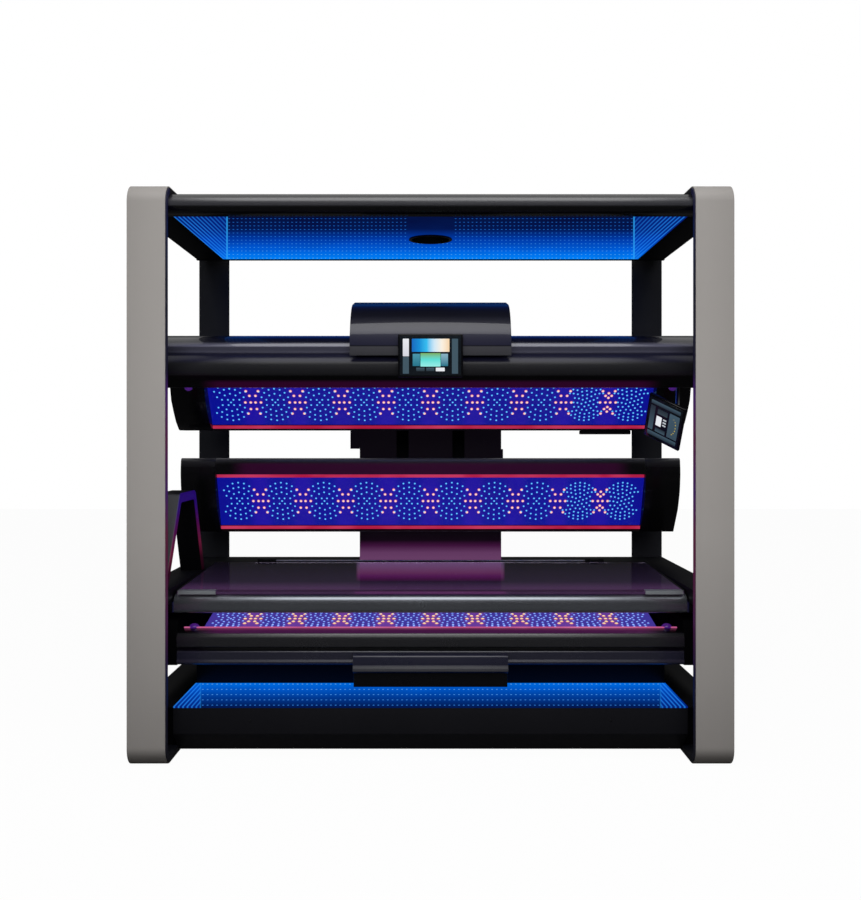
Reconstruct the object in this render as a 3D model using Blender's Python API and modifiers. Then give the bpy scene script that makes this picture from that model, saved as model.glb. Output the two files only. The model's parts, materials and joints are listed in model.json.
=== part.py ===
"""Tanning bed with a lifting canopy, a back panel, a hinged bench lid and a frame of two side loops.

Outlines are drawn in the side view as (depth, height): depth is the distance behind the front of the
frame, height the distance above the floor. +X runs along the bed, +Y to the rear, +Z up.
"""

import math

import bmesh
import bpy
from mathutils import Matrix, Vector

# Fits
SEAT = 0.0003            # gap between faces that touch
PIN_PLAY = 0.0003        # radial play of a pin in a bore
ROD_PLAY = 0.001         # radial play of the lift rod in its tube
MOST_FILLET = 0.55       # share of a side that one fillet may take
PAST = 0.010             # of a cutter past what it cuts
EDGE = 0.004             # round edge of small boxes

# Side loops
WIDTH = 2.400            # over both loops
HEIGHT = 2.315
LOOP_WIDTH = 0.156       # along X
SKIN_WALL = 0.006
LINER_WALL = 0.024
LOOP_RADIUS = 0.075
LINER_STEP = 0.004       # the liner shows this far past the skin on the inner side

# Mast, at the rear
MAST_FRONT = 1.085       # depth of the cover's front
MAST_DEPTH = 0.169
MAST_HALF = 0.354
MAST_TOP = 1.930
COVER_WALL = 0.006
COLUMN_HALF = 0.240
COLUMN_DEPTH = 0.080
COLUMN_WALL = 0.006
RAIL_OFFSET = 0.190      # of each guide rail from the middle
RAIL_WIDTH = 0.030
RAIL_DEPTH = 0.015
SLOT_OFFSET = 0.140
SLOT_WIDTH = 0.060
ARM_WIDTH = 0.040
CARRIAGE_DEPTH = 0.022
SWITCH_DEEP = 0.080      # of the two switch boxes on the sides of the mast cover
SWITCH_BACK = 0.012      # of their front behind the front of the cover
SWITCH_LEFT = (0.048, 1.250, 1.346)    # reach to the side, foot and top
SWITCH_RIGHT = (0.010, 1.203, 1.248)
MOTOR_HEIGHT = 0.120
TUBE_RADIUS = 0.018
TUBE_WALL = 0.004
ROD_GAP = 0.020          # left under the rod at the lowest canopy

# Roof
ROOF_DEEP = 0.081        # height of the roof box
ROOF_INSET = 0.022       # of the roof ends from the outside of the loops
ROOF_REAR = 1.135        # depth of the rear of the roof box
ROOF_WALL = 0.006
NOSE_BACK = 0.115        # depth where the nose ends
ROOF_PANEL_REAR = 1.110
LIGHT_PANEL_WALL = 0.006
REAR_LIP = 0.003
VENT_RADIUS = 0.098
VENT_DEPTH = 0.578
VENT_FLANGE = 0.008
VENT_HEIGHT = 0.050

# Base
BASE_TOP = 0.210
BASE_WALL = 0.006
COVER_PLATE = 0.008
FASCIA_FRONT = 0.110
FASCIA_BEND = 0.105      # height where the fascia turns back to the toe space
FASCIA_FOOT = 0.014
TOE_DEPTH = 0.100
FASCIA_WALL = 0.006
PANEL_REAR = 0.510       # depth of the rear edge of the base light panel
PEDESTAL_REAR = 0.980
PEDESTAL_TOP = 0.372
PEDESTAL_INSET = 0.004
PEDESTAL_WALL = 0.010
FAN_X = 0.500
FAN_DEPTH = 0.750
FAN_SIZE = 0.120
FAN_LENGTH = 0.032
FAN_RADIUS = 0.055
FAN_PLAY = 0.003
HUB_RADIUS = 0.022
BLADES = 7
BLADE_WIDTH = 0.018
BLADE_WALL = 0.0025
BLADE_PITCH = 35         # degrees
SUPPLY_SIZE = (1.200, 0.180, 0.090)
INLET_SIZE = (0.078, 0.048)   # along X and Z
INLET_RAISE = 0.012           # above the floor of the base

# Bed
DECK_TOP = 0.690
DECK_WALL = 0.060
DECK_INNER_GAP = 0.006   # between the bench lid and the deck
BENCH_FRONT = 0.205
BENCH_REAR = 0.945
BENCH_DROP = 0.017       # of the sheet's front edge below the deck
BENCH_RISE = 0.027
SHEET_WALL = 0.0115
SHEET_OVER = 0.030       # of the sheet over the front rail
RAIL_WALL = 0.011
FRONT_RAIL_DEEP = 0.0772
FRONT_RAIL_THICK = 0.044
FRONT_RAIL_ROUND = 0.040
REAR_RAIL = 0.018
PIN_RADIUS = 0.005
PIN_RAISE = 0.002        # of the lugs above the deck
LUG_RADIUS = 0.010
LUG_IN = 0.244           # of each hinge lug from the end of the bench
LUG_LENGTH = 0.040
BRACKET_LENGTH = 0.025
TRAY_FRONT = 0.150
TRAY_RIM_DEEP = 0.055
TRAY_RIM_TOP = 0.518
TRAY_RIM_FALL = 0.016    # of the rim's top towards the front
TRAY_GROOVE = 0.073      # of the groove below the rim's top
TRAY_REAR = 0.930
TRAY_WALL = 0.008
TRAY_REAR_TOP = 0.660
BED_BOARD_SLOPE = 0.176
BOARD_WALL = 0.008
STRIP = 0.010            # depth of a light strip
STRIP_TALL = 0.015       # height of the strips of the canopy and the back panel
STRIP_GAP = 0.004        # between the back panel board and the strip under it
BED_CAP_TOP = 0.556
BED_CAP_INSET = 0.040    # of the bed end caps from the outside of the loops
LOWER_HOOD_HALF = 0.315
LOWER_HOOD_FRONT = 0.100
LOWER_HOOD_FOOT = 0.285
HOOP_GAP = 0.001         # between the deck opening and the hoop
HOOP_WIDTH = 0.100
HOOP_TOP = 1.070
HOOP_BAND = 0.040
HOOP_FOOT = (0.050, 0.770)
HOOP_BAR = (0.300, 0.588)

# Canopy
CANOPY_INSET = 0.025     # of the canopy ends from the outside of the loops
FIELD_INSET = 0.180      # of the lamp boards from the outside of the loops
CANOPY_FRONT = 0.145
CANOPY_TOP = 1.732
CANOPY_RIM_DEEP = 0.090
CANOPY_RIM_FOOT = 1.514
RIM_GROOVE = 0.068       # of the rim's groove below its top
RIM_ROUND = 0.090        # radius of the two bulges of the rim
RIM_UPPER = (76, 24)     # degrees over which the upper bulge turns
RIM_LOWER = (55, 0)
CANOPY_REAR = 0.885
CANOPY_FOOT = 1.340
SHELL_WALL = 0.008
CANOPY_LIP = 0.757       # depth of the front edge of the shell's foot
CHEEK = (                # front edge of the end caps, from the lip and the foot
    (-0.017, 0.004),
    (-0.070, 0.038),
    (-0.116, 0.083),
    (-0.160, 0.136),
    (-0.179, 0.190),
)
CANOPY_BOARD_TOP = (0.632, 1.545)
CANOPY_BOARD_FOOT = (0.7537, 1.3668)
CANOPY_ROOF_FRONT = 1.590
CAP_WALL = 0.006
RIM_WALL = 0.006
BAR_SLOT = 0.050         # length of the slots in the hollow bars
HOOD_HALF = 0.330
HOOD_CHEEK = 0.026
HOOD_WALL = 0.006
HOOD_FRONT = 0.132
HOOD_LIP = 0.090         # of the hood's foot below the top of the canopy
HOOD_RISE = 0.181        # of the hood's crest above it
HOOD_REAR = 1.060
CANOPY_ARM_DROP = 0.172  # of the middle of the arms below the top of the canopy
CANOPY_ARM_DEEP = 0.060
CANOPY_SLIDER_BELOW = 0.060   # of the slider under the middle of its arms
CANOPY_SLIDER_ABOVE = 0.100
CANOPY_DROP = 0.220
SENSOR_LENGTH = 0.230
SENSOR_IN = 0.080        # of the sensor box from the end of the lamp board
SENSOR_DEEP = 0.018
DISPLAY_WIDTH = 0.263
DISPLAY_HEIGHT = 0.1765
DISPLAY_DROP = 0.093     # of the middle of the display below the top of the canopy
DISPLAY_WALL = 0.024
GLASS_WALL = 0.002
GLASS_BORDER = 0.008

# Tablet
TABLET_SHORT = 0.174
TABLET_LONG = 0.234
TABLET_WALL = 0.014
TABLET_IN = 0.1818       # of the tablet from the end of the canopy
TABLET_DEPTH = 0.300
TABLET_HEIGHT = 1.3738
TABLET_ACROSS = (0.7507, -0.4986, -0.4334)  # direction of the short side
TABLET_ALONG = (0.0270, 0.6786, -0.7340)    # direction of the long side
TABLET_PIVOT = 0.030     # of the pin behind the back of the case
TABLET_BARREL = 0.030
TABLET_LUG = 0.010
ARM_RADIUS = 0.009
TABLET_ARM_IN = 0.090    # of the arm from the end of the canopy
TABLET_ARM_DEPTH = 0.450

# Back panel
BACK_INSET = 0.015       # of the back panel ends from the outside of the loops
BACK_TOP = 1.2095
BACK_FOOT = 0.847
BACK_FRONT = 0.813
BACK_FOOT_FRONT = 0.958
BACK_REAR = 1.030
BACK_BOARD_TOP = (0.850, 1.112)
BACK_BOARD_FOOT = (0.952, 0.8805)
BACK_RATIO = 0.550       # of the back panel's travel to the canopy's
BACK_ARM_HEIGHT = 1.000
BACK_ARM_DEEP = 0.060
BACK_SLIDER_REACH = 0.060     # of the slider over and under the middle of its arms

# Worked out from the sizes above
HALF = WIDTH / 2
INNER = HALF - LOOP_WIDTH
LOOP_WALL = SKIN_WALL + SEAT + LINER_WALL
BENCH_HALF = INNER
BENCH_HEIGHT = DECK_TOP - BENCH_DROP
RAIL_TOP = BENCH_HEIGHT - SHEET_WALL - SEAT
RAIL_FOOT = RAIL_TOP - FRONT_RAIL_DEEP
RAIL_NOSE = BENCH_FRONT - FRONT_RAIL_THICK
ROOF_HALF = HALF - ROOF_INSET
HOOD_FOOT = CANOPY_TOP - HOOD_LIP
HOOD_CREST = CANOPY_TOP + HOOD_RISE
DISPLAY_MIDDLE = CANOPY_TOP - DISPLAY_DROP
LUG_X = BENCH_HALF - LUG_IN
BED_CAP_HALF = HALF - BED_CAP_INSET
CANOPY_HALF = HALF - CANOPY_INSET
FIELD_HALF = HALF - FIELD_INSET
BACK_HALF = HALF - BACK_INSET
SENSOR_X = (FIELD_HALF - SENSOR_IN - SENSOR_LENGTH, FIELD_HALF - SENSOR_IN)
DEPTH = MAST_FRONT + MAST_DEPTH + SEAT + LOOP_WALL + 2 * SEAT
BAY_FRONT = LOOP_WALL + SEAT
BAY_REAR = DEPTH - LOOP_WALL - SEAT
BAY_FLOOR = LOOP_WALL + SEAT
BAY_TOP = HEIGHT - LOOP_WALL - SEAT
BAY_HALF = HALF - LINER_STEP
ROOF_FOOT = BAY_TOP - ROOF_DEEP
COLUMN_FRONT = MAST_FRONT + MAST_DEPTH - COVER_WALL - SEAT - COLUMN_DEPTH
RAIL_FRONT = COLUMN_FRONT - RAIL_DEPTH
CARRIAGE_REAR = RAIL_FRONT - SEAT
CANOPY_ARM_HEIGHT = CANOPY_TOP - CANOPY_ARM_DROP
CANOPY_CARRIAGE = (CANOPY_ARM_HEIGHT - CANOPY_SLIDER_BELOW, CANOPY_ARM_HEIGHT + CANOPY_SLIDER_ABOVE)
BACK_CARRIAGE = (BACK_ARM_HEIGHT - BACK_SLIDER_REACH, BACK_ARM_HEIGHT + BACK_SLIDER_REACH)

# Looks: base colour, roughness, metallic
TAUPE = ((0.29, 0.27, 0.25), 0.45, 0.2)
BLACK = ((0.012, 0.012, 0.014), 0.35, 0.0)
CHARCOAL = ((0.03, 0.032, 0.036), 0.4, 0.0)
GRAPHITE = ((0.06, 0.06, 0.07), 0.3, 0.4)
STEEL = ((0.45, 0.46, 0.48), 0.35, 1.0)
BLUE_LIGHT = ((0.0, 0.15, 0.9), 0.3, 0.0)
LAMP_BLUE = ((0.04, 0.02, 0.45), 0.25, 0.0)
RED_LIGHT = ((0.9, 0.05, 0.1), 0.3, 0.0)
ACRYLIC = ((0.05, 0.04, 0.07), 0.05, 0.0)
GLASS = ((0.02, 0.03, 0.05), 0.1, 0.0)


def start():
    """Empties the scene and makes the collections for the parts and the cutters."""
    for obj in list(bpy.data.objects):
        bpy.data.objects.remove(obj, do_unlink=True)
    made = []
    for name in ("tanning_bed", "cutters"):
        group = bpy.data.collections.new(name)
        bpy.context.scene.collection.children.link(group)
        made.append(group)
    return made


PARTS, CUTTERS = start()


def back(depth):
    """Y of a plane that lies this far behind the front of the frame."""
    return depth - DEPTH / 2


def fillet(points, radius, steps=5, closed=True):
    """The outline with each corner turned into an arc; radius is one number or one for each corner."""
    count = len(points)
    radii = radius if isinstance(radius, (list, tuple)) else [radius] * count
    result = []
    for index, corner in enumerate(points):
        here = Vector(corner)
        ends = not closed and index in (0, count - 1)
        if ends or radii[index] <= 0:
            result.append(here)
            continue
        before = Vector(points[index - 1]) - here
        after = Vector(points[(index + 1) % count]) - here
        half_angle = before.angle(after) / 2
        most = MOST_FILLET * min(before.length, after.length)
        reach = min(radii[index] / math.tan(half_angle), most)
        arc_radius = reach * math.tan(half_angle)
        inwards = (before.normalized() + after.normalized()).normalized()
        centre = here + inwards * arc_radius / math.sin(half_angle)
        first = here + before.normalized() * reach - centre
        last = here + after.normalized() * reach - centre
        for step in range(steps + 1):
            share = step / steps
            blend = first.lerp(last, share).normalized() * arc_radius
            result.append(centre + blend)
    return [tuple(point) for point in result]


def bulge(centre, radius, turn):
    """Points of a rounding about a centre of depth and height, between two tilts in degrees."""
    steps = 6
    angles = [math.radians(turn[0] + (turn[1] - turn[0]) * step / steps) for step in range(steps + 1)]
    return [(centre[0] - radius * math.cos(angle), centre[1] + radius * math.sin(angle)) for angle in angles]


def offset(path, distance, closed=False):
    """The path moved sideways: to the left of its direction for a positive distance."""
    count = len(path)
    moved = []
    for index in range(count):
        here = Vector(path[index])
        sides = []
        if closed or index > 0:
            sides.append((here - Vector(path[index - 1])).normalized())
        if closed or index < count - 1:
            sides.append((Vector(path[(index + 1) % count]) - here).normalized())
        normals = [Vector((-side.y, side.x)) for side in sides]
        middle = sum(normals, Vector((0, 0))).normalized()
        moved.append(tuple(here + middle * distance / middle.dot(normals[0])))
    return moved


def sheet(path, wall):
    """Closed outline of a sheet of this wall whose one face runs along the path."""
    return list(path) + offset(path, wall)[::-1]


def rounded_box(depths, heights, radius):
    """Outline of a rectangle with round corners."""
    low, high = depths
    foot, top = heights
    return fillet([(low, foot), (high, foot), (high, top), (low, top)], radius, steps=8)


def finish(obj, look):
    """Gives the object its own material and files it with the parts."""
    color, roughness, metallic = look
    material = bpy.data.materials.new(obj.name)
    material.use_nodes = True
    shader = material.node_tree.nodes["Principled BSDF"]
    shader.inputs["Base Color"].default_value = (*color, 1)
    shader.inputs["Roughness"].default_value = roughness
    shader.inputs["Metallic"].default_value = metallic
    obj.data.materials.clear()
    obj.data.materials.append(material)
    obj.data.shade_smooth()
    obj.data.set_sharp_from_angle(angle=math.radians(35))
    PARTS.objects.link(obj)
    return obj


ALONG_X = Matrix(((0, 0, 1, 0), (1, 0, 0, 0), (0, 1, 0, 0), (0, 0, 0, 1)))


def prism(name, outline, ends):
    """Solid whose side view is the outline, between two places on X."""
    low, high = ends
    half = (high - low) / 2
    work = bmesh.new()
    corners = [work.verts.new((back(depth), height, -half)) for depth, height in outline]
    face = work.faces.new(corners)
    made = bmesh.ops.extrude_face_region(work, geom=[face])["geom"]
    moved = [item for item in made if isinstance(item, bmesh.types.BMVert)]
    bmesh.ops.translate(work, verts=moved, vec=(0, 0, 2 * half))
    bmesh.ops.recalc_face_normals(work, faces=work.faces)
    mesh = bpy.data.meshes.new(name)
    work.to_mesh(mesh)
    work.free()
    obj = bpy.data.objects.new(name, mesh)
    obj.matrix_world = Matrix.Translation(((low + high) / 2, 0, 0)) @ ALONG_X
    return obj


def tube(name, outline, hollow, ends):
    """Prism with a hollow right through it along X."""
    return cut(prism(name, outline, ends), prism(name + "_hollow", hollow, (ends[0] - PAST, ends[1] + PAST)))


def hollow_bar(name, outline, hollow, half, slot):
    """Bar along X with closed ends, whose hollow opens through a slot near each end of its back."""
    core = prism(name + "_hollow", hollow, (RIM_WALL - half, half - RIM_WALL))
    bar = cut(prism(name, outline, (-half, half)), core)
    depths, heights = slot
    for side in (-1, 1):
        cut(bar, box(name + "_slot", sided(side, half - 2 * BAR_SLOT, half - BAR_SLOT), depths, heights))
    return bar


def bent_rod(name, curve):
    """Closed mesh of a curve with a round bevel and capped ends."""
    source = bpy.data.objects.new(name + "_curve", curve)
    CUTTERS.objects.link(source)
    graph = bpy.context.evaluated_depsgraph_get()
    mesh = bpy.data.meshes.new_from_object(source.evaluated_get(graph))
    bpy.data.objects.remove(source)
    work = bmesh.new()
    work.from_mesh(mesh)
    bmesh.ops.remove_doubles(work, verts=work.verts, dist=1e-6)
    bmesh.ops.recalc_face_normals(work, faces=work.faces)
    work.to_mesh(mesh)
    work.free()
    return bpy.data.objects.new(name, mesh)


def box(name, x, depth, height, round_edge=0.0):
    """Box between two places on X, two depths and two heights."""
    size = (x[1] - x[0], depth[1] - depth[0], height[1] - height[0])
    centre = ((x[0] + x[1]) / 2, back((depth[0] + depth[1]) / 2), (height[0] + height[1]) / 2)
    work = bmesh.new()
    bmesh.ops.create_cube(work, size=1, matrix=Matrix.Diagonal((*size, 1)))
    mesh = bpy.data.meshes.new(name)
    work.to_mesh(mesh)
    work.free()
    obj = bpy.data.objects.new(name, mesh)
    obj.location = centre
    if round_edge > 0:
        bevel = obj.modifiers.new("round_edge", "BEVEL")
        bevel.width = round_edge
        bevel.segments = 2
        bevel.limit_method = "NONE"
    return obj


def cylinder(name, radius, length, matrix, sides=24):
    """Round bar along its own Z, centred on the matrix."""
    work = bmesh.new()
    bmesh.ops.create_cone(
        work, cap_ends=True, segments=sides, radius1=radius, radius2=radius, depth=length
    )
    mesh = bpy.data.meshes.new(name)
    work.to_mesh(mesh)
    work.free()
    obj = bpy.data.objects.new(name, mesh)
    obj.matrix_world = matrix
    return obj


def turned(name, profile, place, steps=32):
    """Solid turned about the vertical through a place, from a profile of (radius, height) run top to bottom."""
    mesh = bpy.data.meshes.new(name)
    points = [(radius, 0, height) for radius, height in profile]
    edges = [(index, index + 1) for index in range(len(points) - 1)]
    if profile[0][0] > 0:
        edges.append((len(points) - 1, 0))
    mesh.from_pydata(points, edges, [])
    obj = bpy.data.objects.new(name, mesh)
    obj.location = place
    screw = obj.modifiers.new("turn", "SCREW")
    screw.steps = steps
    screw.render_steps = steps
    screw.use_merge_vertices = True
    screw.merge_threshold = 0.00001
    return obj


def boolean(obj, other, operation):
    """Cuts the other object out of this one, or joins it on, and leaves plain mesh."""
    for each in (obj, other):
        if not each.users_collection:
            CUTTERS.objects.link(each)
    change = obj.modifiers.new(operation.lower(), "BOOLEAN")
    change.operation = operation
    change.object = other
    change.solver = "EXACT"
    graph = bpy.context.evaluated_depsgraph_get()
    mesh = bpy.data.meshes.new_from_object(obj.evaluated_get(graph))
    obj.modifiers.clear()
    obj.data = mesh
    CUTTERS.objects.unlink(obj)
    bpy.data.objects.remove(other)
    return obj


def cut(obj, *others):
    for other in others:
        boolean(obj, other, "DIFFERENCE")
    return obj


def join(obj, *others):
    for other in others:
        boolean(obj, other, "UNION")
    return obj


def sided(side, low, high):
    """Places on X of a piece between two distances from the middle, on one side."""
    return (low, high) if side > 0 else (-high, -low)


def pivot(name, place):
    """Empty on a joint's axis, which the moving pieces hang on."""
    empty = bpy.data.objects.new(name, None)
    empty.location = place
    empty.empty_display_size = 0.1
    PARTS.objects.link(empty)
    return empty


def hang(parent, pieces):
    """Parents the pieces and keeps where they are."""
    for piece in pieces:
        piece.parent = parent
        piece.matrix_parent_inverse = Matrix.Translation(parent.location).inverted()


def hollow_cap(name, outline, ends, open_at):
    """Thin-walled end cap: a prism left open at one depth or height, given a wall inwards."""
    obj = prism(name, outline, ends)
    axis, place = open_at
    work = bmesh.new()
    work.from_mesh(obj.data)
    gone = [face for face in work.faces if all(abs(v.co[axis] - place) < 1e-5 for v in face.verts)]
    bmesh.ops.delete(work, geom=gone, context="FACES")
    work.to_mesh(obj.data)
    work.free()
    wall = obj.modifiers.new("wall", "SOLIDIFY")
    wall.thickness = CAP_WALL
    wall.offset = -1
    wall.use_even_offset = True
    return obj


def depth_at(path, height):
    """Depth where a falling path passes a height."""
    for (depth0, height0), (depth1, height1) in zip(path, path[1:]):
        if height1 <= height <= height0 and height0 > height1:
            return depth0 + (depth1 - depth0) * (height0 - height) / (height0 - height1)
    return path[-1][0]


# Frame

def loop_outline(inset):
    return rounded_box((inset, DEPTH - inset), (inset, HEIGHT - inset), LOOP_RADIUS - inset)


def side_loop(word, side):
    skin = tube(word + "_skin", loop_outline(0), loop_outline(SKIN_WALL), sided(side, INNER + LINER_STEP, HALF))
    finish(skin, TAUPE)
    liner = tube(word + "_liner", loop_outline(SKIN_WALL + SEAT), loop_outline(LOOP_WALL),
                 sided(side, INNER, BAY_HALF))
    finish(liner, BLACK)


BAY_RADIUS = LOOP_RADIUS - LOOP_WALL - SEAT
ROOF_BACK = NOSE_BACK + SEAT


def roof():
    corners = [(BAY_FRONT, ROOF_FOOT), (NOSE_BACK, ROOF_FOOT), (NOSE_BACK, BAY_TOP), (BAY_FRONT, BAY_TOP)]
    nose = fillet(corners, [ROOF_DEEP - BAY_RADIUS - SEAT, 0, 0, BAY_RADIUS], steps=8)
    finish(prism("roof_nose", nose, (-BAY_HALF, BAY_HALF)), GRAPHITE)

    lip = ROOF_PANEL_REAR + SEAT
    foot = ROOF_FOOT - REAR_LIP
    path = fillet(
        [
            (lip, ROOF_FOOT + LIGHT_PANEL_WALL),
            (lip, foot),
            (ROOF_REAR, foot),
            (ROOF_REAR, BAY_TOP),
            (ROOF_BACK, BAY_TOP),
            (ROOF_BACK, ROOF_FOOT + LIGHT_PANEL_WALL + SEAT),
        ],
        [0, 0, 0, 2 * ROOF_WALL, 0, 0],
        closed=False,
    )
    cover = prism("roof_cover", sheet(path, ROOF_WALL), (-ROOF_HALF, ROOF_HALF))
    inset = ROOF_WALL / 3
    for side in (-1, 1):
        soffit = box("soffit", sided(side, INNER, ROOF_HALF - inset), (ROOF_BACK + inset, lip + inset),
                     (ROOF_FOOT, ROOF_FOOT + LIGHT_PANEL_WALL))
        wall = box("wall", sided(side, ROOF_HALF - ROOF_WALL, ROOF_HALF - 2 * inset),
                   (ROOF_BACK + 2 * inset, lip + 2 * inset), (ROOF_FOOT + inset, BAY_TOP - inset))
        join(cover, soffit, wall)
    finish(cover, BLACK)

    panel = box("roof_light_panel", (SEAT - INNER, INNER - SEAT), (ROOF_BACK, ROOF_PANEL_REAR),
                (ROOF_FOOT, ROOF_FOOT + LIGHT_PANEL_WALL))
    bore = VENT_RADIUS - VENT_FLANGE
    vent_place = (0, back(VENT_DEPTH), ROOF_FOOT)
    hole = cylinder("vent_hole", bore, 2 * VENT_HEIGHT, Matrix.Translation(vent_place), sides=32)
    finish(cut(panel, hole), BLUE_LIGHT)
    neck = bore - SEAT
    profile = [
        (0, VENT_HEIGHT),
        (neck, VENT_HEIGHT),
        (neck, -SEAT),
        (VENT_RADIUS, -SEAT),
        (VENT_RADIUS, -SEAT - ROOF_WALL),
        (neck - ROOF_WALL, -SEAT - ROOF_WALL),
        (neck - ROOF_WALL, VENT_HEIGHT - ROOF_WALL),
        (0, VENT_HEIGHT - ROOF_WALL),
    ]
    finish(turned("ceiling_vent", profile, vent_place), BLACK)


PLATE = (BASE_TOP + SEAT, BASE_TOP + SEAT + COVER_PLATE)
RIB = 0.008


def base():
    fascia_path = [
        (FASCIA_FRONT, BASE_TOP),
        (FASCIA_FRONT, FASCIA_BEND),
        (FASCIA_FRONT + TOE_DEPTH, FASCIA_FOOT),
    ]
    fascia = sheet(fascia_path, FASCIA_WALL)
    finish(prism("base_fascia", fascia, (SEAT - INNER, INNER - SEAT)), BLACK)
    front = max(depth for depth, _ in fascia) + SEAT

    path = fillet(
        [(front, BASE_TOP), (front, BAY_FLOOR), (BAY_REAR, BAY_FLOOR), (BAY_REAR, BASE_TOP)],
        [0, 0, BAY_RADIUS, 0],
        closed=False,
    )
    chassis = prism("base_chassis", sheet(path, BASE_WALL), (-BAY_HALF, BAY_HALF))
    inside = INNER - SEAT
    floor = BAY_FLOOR + BASE_WALL
    ribs = []
    for depth in (PANEL_REAR, PEDESTAL_REAR):
        ribs.append(box("rib", (-inside, inside), (depth - RIB / 2, depth + RIB / 2),
                        (floor - BASE_WALL / 2, BASE_TOP)))
    finish(join(chassis, *ribs), BLACK)

    def side_cover(name, side):
        plate = box(name, sided(side, INNER, BAY_HALF), (FASCIA_FRONT, BAY_REAR), PLATE)
        wall = box(name + "_wall", sided(side, BAY_HALF - BASE_WALL, BAY_HALF),
                   (front + BASE_WALL + SEAT, BAY_REAR - LOOP_RADIUS), (floor + SEAT, PLATE[1]))
        return join(plate, wall)

    covers = box("base_covers", (-BAY_HALF, BAY_HALF), (PEDESTAL_REAR + SEAT, BAY_REAR), PLATE)
    finish(join(covers, side_cover("left_cover", -1), side_cover("right_cover", 1)), BLACK)
    finish(box("base_light_panel", (-inside, inside), (FASCIA_FRONT, PANEL_REAR),
               (PLATE[0], PLATE[0] + LIGHT_PANEL_WALL)), BLUE_LIGHT)

    half = INNER - PEDESTAL_INSET
    pedestal = box("pedestal", (-half, half), (PANEL_REAR + SEAT, PEDESTAL_REAR), (PLATE[0], PEDESTAL_TOP))
    pocket = box("pedestal_pocket", (PEDESTAL_WALL - half, half - PEDESTAL_WALL),
                 (PANEL_REAR + SEAT + PEDESTAL_WALL, PEDESTAL_REAR - PEDESTAL_WALL),
                 (PLATE[0] - PEDESTAL_WALL, PEDESTAL_TOP - PEDESTAL_WALL))
    finish(cut(pedestal, pocket), BLACK)

    long, deep, tall = SUPPLY_SIZE
    finish(box("power_supply", (-long / 2, long / 2), (FAN_DEPTH - deep / 2, FAN_DEPTH + deep / 2),
               (floor + SEAT, floor + SEAT + tall), EDGE), STEEL)
    wide, high = INLET_SIZE
    low = floor + INLET_RAISE
    finish(box("mains_inlet", (FAN_X, FAN_X + wide), (BAY_REAR + SEAT, DEPTH - SEAT), (low, low + high), EDGE),
           CHARCOAL)


FAN_TOP = PEDESTAL_TOP - PEDESTAL_WALL - SEAT
FAN_HEIGHT = FAN_TOP - FAN_SIZE / 2
ALONG_Y = Matrix.Rotation(math.pi / 2, 4, "X")
SPIDER = 0.004
SIDES = (("left", -1), ("right", 1))


def fans():
    for word, side in SIDES:
        x = side * FAN_X
        rear = FAN_DEPTH + FAN_LENGTH / 2
        centre = Matrix.Translation((x, back(FAN_DEPTH), FAN_HEIGHT))
        square = (x - FAN_SIZE / 2, x + FAN_SIZE / 2)
        frame = box("fan_frame_" + word, square, (rear - FAN_LENGTH, rear), (FAN_TOP - FAN_SIZE, FAN_TOP))
        bore = cylinder("fan_bore", FAN_RADIUS + FAN_PLAY, 2 * FAN_LENGTH, centre @ ALONG_Y, sides=32)
        cut(frame, bore)
        reach = (FAN_RADIUS + FAN_PLAY + FAN_SIZE / 2) / 2
        bar = box("fan_bar", (x - reach, x + reach), (rear - SPIDER, rear - SPIDER / 4),
                  (FAN_HEIGHT - SPIDER, FAN_HEIGHT + SPIDER))
        motor = Matrix.Translation((x, back(rear - SPIDER / 2), FAN_HEIGHT)) @ ALONG_Y
        finish(join(frame, bar, cylinder("fan_motor", HUB_RADIUS, SPIDER, motor)), CHARCOAL)

        hub_front = rear - FAN_LENGTH + FAN_PLAY
        hub_rear = rear - SPIDER - SEAT
        hub_middle = (hub_front + hub_rear) / 2
        axle = Matrix.Translation((x, back(hub_middle), FAN_HEIGHT))
        rotor = cylinder("fan_rotor_" + word, HUB_RADIUS, hub_rear - hub_front, axle @ ALONG_Y)
        blades = []
        length = FAN_RADIUS - HUB_RADIUS + FAN_PLAY
        for index in range(BLADES):
            turn = Matrix.Rotation(2 * math.pi * index / BLADES, 4, "Y")
            out = Matrix.Translation((HUB_RADIUS - FAN_PLAY + length / 2, 0, 0))
            pitch = Matrix.Rotation(math.radians(BLADE_PITCH), 4, "X")
            blade = cylinder("blade", 0.5, 1, axle @ turn @ out @ pitch, sides=4)
            blade.data.transform(Matrix.Rotation(math.pi / 4, 4, "Z"))
            long, wide = (math.sqrt(2) * size for size in (length, BLADE_WIDTH))
            blade.data.transform(Matrix.Diagonal((long, wide, BLADE_WALL, 1)))
            blades.append(blade)
        finish(join(rotor, *blades), CHARCOAL)
        hang(pivot("fan_axis_" + word, (x, back(FAN_DEPTH), FAN_HEIGHT)), [rotor])


# Bed and bench lid

DECK_INNER = BENCH_HALF + RAIL_WALL + DECK_INNER_GAP
RIM_BACK = TRAY_FRONT + TRAY_RIM_DEEP
TRAY_FLOOR = PEDESTAL_TOP + SEAT
BED_HALF = INNER - PEDESTAL_INSET
PIN_DEPTH = BENCH_REAR + REAR_RAIL + SEAT + LUG_RADIUS
PIN_HEIGHT = DECK_TOP + SEAT + LUG_RADIUS + PIN_RAISE
DECK_REAR_EDGE = BENCH_REAR + REAR_RAIL + SEAT
PIN_LINE = Matrix.Translation((0, back(PIN_DEPTH), PIN_HEIGHT)) @ Matrix.Rotation(math.pi / 2, 4, "Y")


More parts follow.
